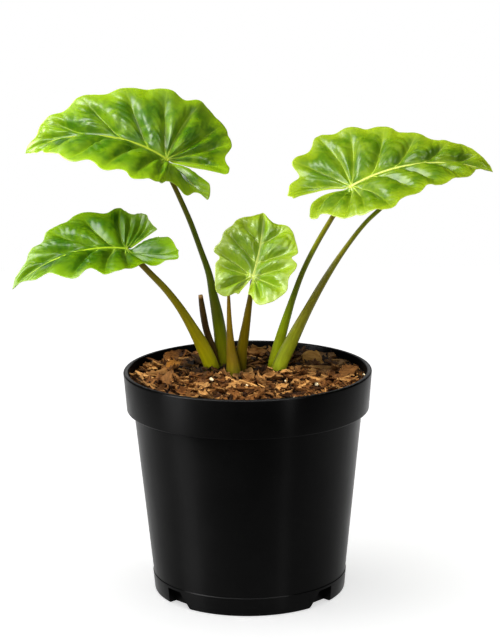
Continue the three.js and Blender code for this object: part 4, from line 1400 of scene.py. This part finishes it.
def bark_material(name, dark, middle, light, pale):
    def build(tree):
        tone = tree.attribute("tone")
        fibre = tree.attribute("fibre", "Vector")
        seed = tree.times(tone, 40.0)
        fibres = tree.group(FIBRES, {"Vector": fibre, "Scale": 0.9, "Seed": seed,
                                     "Dark": colour(*dark), "Light": colour(*middle)})
        lighter = tree.group(FIBRES, {"Vector": fibre, "Scale": 0.7, "Seed": tree.plus(seed, 3.0),
                                      "Dark": colour(*light), "Light": colour(*pale)})
        base = tree.mix(tree.spread(tone, 0.35, 1.0), fibres["Colour"], lighter["Colour"])
        stained = tree.group(PATCHES, {"Vector": tree.place(), "Scale": 90.0, "Amount": 0.3,
                                       "Colour": base, "Patch colour": colour(*dark)})
        return {"Base Color": stained["Colour"], "Normal": tree.bump(fibres["Height"], 0.0006)}
    return material(name, build, **{"Roughness": 0.85, "Specular IOR Level": 0.22})


def build_perlite(tree):
    grain = tree.noise(tree.place(), scale=900.0, roughness=0.6)
    return {"Base Color": tree.ramp(grain, [(0.3, (186, 160, 116)), (0.7, (240, 224, 186))]),
            "Normal": tree.bump(grain, 0.0004)}


# Chips that stand out: where on the mix, how far their middle is raised, how they are turned, tilted
# to the front and pitched, their length, width, thickness and curl, and their tone from dark to pale.
MARKED_CHIPS = (
    # x, y, raised, turn, tilt, pitch, length, width, thickness, curl, tone
    (-64, 46, 5.4, 12, 62, 10, 14, 11, 1.6, 0.9, 0.45),
    (80, -8, 4.6, 10, 50, 12, 15, 14, 1.6, 0.4, 0.5),
    (-47, 55, 2.8, 8, 20, -4, 24, 4.5, 1.6, 0.6, 0.8),
    (-38, -41, 2.6, 12, 20, 4, 17, 4, 1.8, 0.8, 0.85),
    (55, -23, 2.8, -32, 20, 6, 18, 3.6, 1.6, 0.5, 0.8),
    (57, 9.5, 3.0, -8, 24, 4, 21, 3.6, 1.6, 0.4, 0.75),
    (-3, -22, 3.4, 50, 36, 20, 14, 10, 2.2, 0.7, 0.6),
    (10, -37, 3.2, 130, 34, -18, 15, 9, 2.2, 0.9, 0.68),
    (-10, -45, 2.8, 20, 40, 14, 12, 9, 2.0, -0.5, 0.72),
    (42, -10, 3.2, 72, 30, 24, 14, 9, 2.0, 0.9, 0.5),
    (-21, -19, 3.0, 150, 30, -20, 13, 8, 2.0, 0.6, 0.55),
    (25, -50, 2.8, 40, 36, 10, 14, 7, 2.0, 0.8, 0.82),
    (-72, -3, 2.6, 165, 30, 8, 16, 5, 1.6, 1.2, 0.66),
    (-79, 24, 2.8, 20, 30, 10, 14, 6, 1.6, 1.0, 0.78),
    (66, 52, 3.0, -30, 40, -10, 15, 5, 1.6, 0.8, 0.7),
    (37, -40, 3.0, 100, 30, 30, 12, 8, 2.0, 0.7, 0.76),
    (-55, -22, 2.6, 60, 30, 14, 15, 6, 1.8, 0.8, 0.5),
    (8, 62, 3.2, 10, 44, 6, 16, 8, 1.8, 0.6, 0.6),
)
TAN_CHIPS = (
    (-61, 15, 5.2, 4, 56, 0, 10, 11, 1.3, 0.5, 0.5),
    (54, 40, 5.0, -14, 50, 8, 16, 11, 1.4, -0.5, 0.8),
)
MARKED_GRAINS = ((-28.7, -29.1, 3.6), (-0.6, -44.3, 2.4), (30.2, -36.2, 2.8), (54.3, -46.5, 3.8))


def strewing_surface():
    """An open sheet on the mix, with the chances of chips and of fines, which gather by the wall."""
    sheet_rings = 30
    rings = [surface_ring(r, 0) for r in MIX_RADIUS * (1 - np.arange(sheet_rings) / sheet_rings)]
    points, faces = loft(rings)
    below = len(points) - 2
    from_wall = MIX_RADIUS - np.hypot(points[:, 0], points[:, 1])
    return mesh_object("strewing_surface", points, [face for face in faces if max(face) != below], {
        "chips": 0.35 + 0.65 * smoothstep(from_wall, 2, 20),
        "fines": 1.3 - 0.8 * smoothstep(from_wall, 3, 25)})


# What is strewn, over what came before it: the shapes and their number per square metre, where, their
# smallest and largest size, how far they tilt, in radians, and how high they lie, in metres.
STREWN = (
    # name, finish, seed, Shapes, Density, Chance, Smallest, Largest, Tilt, Lowest, Highest
    ("bark_crumbs", "dark", 11, "crumbs", 80000.0, "fines", 0.5, 1.2, 1.5, -0.0003, 0.0012),
    ("bark_slivers", "shredded", 12, "slivers", 9500.0, "chips", 0.6, 1.1, 0.34, 0.0006, 0.0038),
    ("small_slivers", "shredded", 15, "slivers", 17000.0, "fines", 0.25, 0.5, 0.45, 0.0003, 0.0024),
    ("bark_flakes", "shredded", 13, "flakes", 9000.0, "chips", 0.5, 1.1, 0.62, 0.0003, 0.0034),
    # The dark flakes lie lowest, as painted shade between the chips as well as darker bark.
    ("dark_flakes", "dark", 16, "flakes", 12000.0, "chips", 0.4, 0.95, 0.6, -0.0004, 0.002),
    ("perlite_grains", "perlite", 14, "grains", 500.0, "fines", 0.6, 1.1, 1.5, 0.001, 0.003),
)


def small_shapes():
    """The collections of small shapes that are strewn, by name."""
    rng = random.Random(7)
    return {
        "flakes": variants("flakes", [
            flake(rng, rng.uniform(10, 17), rng.uniform(6, 10.5), rng.uniform(1.0, 2.0),
                  rng.uniform(-0.9, 1.2), 1.2) for _ in range(10)]),
        "slivers": variants("slivers", [
            flake(rng, rng.uniform(13, 25), rng.uniform(2, 4), rng.uniform(0.9, 1.6),
                  rng.uniform(-1.2, 1.8), 1.2, 7, 2) for _ in range(9)]),
        "crumbs": variants("crumbs", [pebble(rng, rng.uniform(2.2, 3.6), 0.6) for _ in range(5)]),
        "grains": variants("grains", [pebble(rng, rng.uniform(2.0, 3.0), 0.8) for _ in range(3)]),
    }


def make_litter():
    """Everything that lies loose on the mix."""
    sheet = strewing_surface()
    group = strewing_tree()
    bark = bark_material("shredded bark", (60, 32, 12), (124, 79, 36), (152, 103, 50), (206, 156, 92))
    # Dark bark for crumbs and for flakes laid low among the chips: partly bark of a darker tone, partly
    # painted shade for the gaps between the chips.
    dark_bark = bark_material("dark bark", (18, 8, 3), (60, 34, 14), (84, 50, 20), (124, 83, 41))
    white = material("perlite", build_perlite, **{"Roughness": 0.8})
    finishes = {"shredded": bark, "dark": dark_bark, "perlite": white}
    shapes = small_shapes()
    litter = []
    for name, finish, seed, shape, density, chance, smallest, largest, tilt, lowest, highest in STREWN:
        litter.append(strew(name, sheet.data, group, finishes[finish], **{
            "Seed": seed, "Shapes": shapes[shape], "Density": density, "Chance": chance,
            "Smallest": smallest, "Largest": largest, "Tilt": tilt, "Lowest": lowest,
            "Highest": highest}))
    bpy.data.objects.remove(sheet)
    for collection in shapes.values():
        for shape in list(collection.objects):
            bpy.data.objects.remove(shape)
        bpy.data.collections.remove(collection)
    rng = random.Random(21)
    tan_bark = bark_material("tan bark", (124, 76, 24), (182, 122, 48), (186, 128, 56), (228, 176, 98))
    for name, chips, finish in (("marked_chips", MARKED_CHIPS, bark),
                                ("tan_chips", TAN_CHIPS, tan_bark)):
        litter.append(set_down(name, [
            (flake(rng, length, width, thickness, curl, 1.0, 8, 5), *laid, tone)
            for *laid, length, width, thickness, curl, tone in chips], finish))
    litter.append(set_down("marked_grains", [
        (pebble(rng, size, 0.7), x, y, 4.0, 30 * k, 20, 10, 0.5)
        for k, (x, y, size) in enumerate(MARKED_GRAINS)], white))
    return litter


mix_pieces = [make_mix(), *make_litter()]


# ---- Studio --------------------------------------------------------------------------------------

def add_floor():
    """White paper that ends in front of the pot, so that the pot's upper wall mirrors the dark room."""
    front, back, side = -240, 1300, 1300
    points = [(-side, front, 0), (side, front, 0), (side, back, 0), (-side, back, 0)]
    floor = mesh_object("studio_floor", points, [(0, 1, 2, 3)], smooth=False)
    paper = material("white paper", lambda tree: {}, **{
        "Base Color": colour(244, 244, 244), "Roughness": 0.9, "Specular IOR Level": 0.0,
        "Emission Color": (1, 1, 1, 1), "Emission Strength": 0.58})
    floor.data.materials.append(paper)
    return floor


def add_light(name, place, aim, width, height, power, mirrored=True, lighting=True):
    """A soft box. mirrored: glossy pieces show it. lighting: it lights pieces by itself."""
    data = bpy.data.lights.new(name, "AREA")
    data.shape = "RECTANGLE"
    data.size, data.size_y = width, height
    data.energy = power
    light = bpy.data.objects.new(name, data)
    light.location = place
    light.rotation_euler = (Vector(aim) - Vector(place)).to_track_quat("-Z", "Y").to_euler()
    light.visible_camera = False
    light.visible_glossy = mirrored
    light.visible_diffuse = lighting
    bpy.context.collection.objects.link(light)
    return light


def add_lights(boxes, state, pieces, **way):
    """Soft boxes for some pieces alone, with INCLUDE, or for all others, with EXCLUDE."""
    for box in boxes:
        light = add_light(*box, **way)
        linked = bpy.data.collections.new(light.name + " link")
        for piece in pieces:
            linked.objects.link(piece)
        for entry in linked.collection_objects:
            entry.light_linking.link_state = state
        light.light_linking.receiver_collection = linked


def add_world():
    """White to the camera, and a weak even light that no glossy piece mirrors."""
    world = bpy.data.worlds.new("studio")
    world.use_nodes = True
    tree = Tree(world.node_tree)
    background = world.node_tree.nodes["Background"]
    seen = tree.node("ShaderNodeLightPath", None, "Is Camera Ray")
    tree.feed(background.inputs["Strength"], tree.spread(seen, 0.0, 1.0, 0.38, 1.0, smooth=False))
    background.inputs["Color"].default_value = (1, 1, 1, 1)
    world.cycles_visibility.glossy = False
    bpy.context.scene.world = world


paper_floor = add_floor()
add_world()
PLANT, POT_TOP = (0, 0, 0.25), (0, 0, 0.2)
add_lights([("left panel", (-1.02, -0.42, 0.85), PLANT, 0.5, 1.4, 62),
            ("right strip", (0.9, -1.2, 0.5), PLANT, 0.2, 1.0, 7),
            ("lip strip", (0, -0.25, 1.5), PLANT, 1.4, 0.6, 90),
            ("back strip", (0, 1.6, 0.62), PLANT, 1.6, 0.3, 2)], "INCLUDE", [pot], lighting=False)
add_lights([("left box", (-1.25, 0.2, 1.2), PLANT, 1.3, 0.9, 25),
            ("front glow", (-0.25, -0.95, 1.55), PLANT, 0.7, 0.6, 11),
            ("right glow", (1.1, -0.9, 1.1), PLANT, 0.5, 0.4, 2.8)], "EXCLUDE", [pot], lighting=False)
add_lights([("young leaf glow", (0.12, -0.3, 1.25), PLANT, 0.7, 0.7, 2.6)],
           "INCLUDE", [bpy.data.objects["young_blade"]], lighting=False)
add_lights([("soft top", (-0.2, 0.05, 1.4), PLANT, 1.1, 1.1, 7)], "EXCLUDE", mix_pieces, mirrored=False)
add_lights([("mix light", (0.42, -0.35, 1.5), PLANT, 0.25, 0.25, 42)],
           "INCLUDE", mix_pieces, mirrored=False)
add_lights([("key", (-1.05, -0.5, 1.25), PLANT, 0.45, 0.45, 30),
            ("front fill", (-0.55, -1.5, 0.5), POT_TOP, 0.8, 0.6, 10)],
           "EXCLUDE", [paper_floor, *mix_pieces], mirrored=False)

view = bpy.context.scene.view_settings
view.view_transform = "Standard"
view.look = "None"
view.exposure = 0
view.gamma = 1
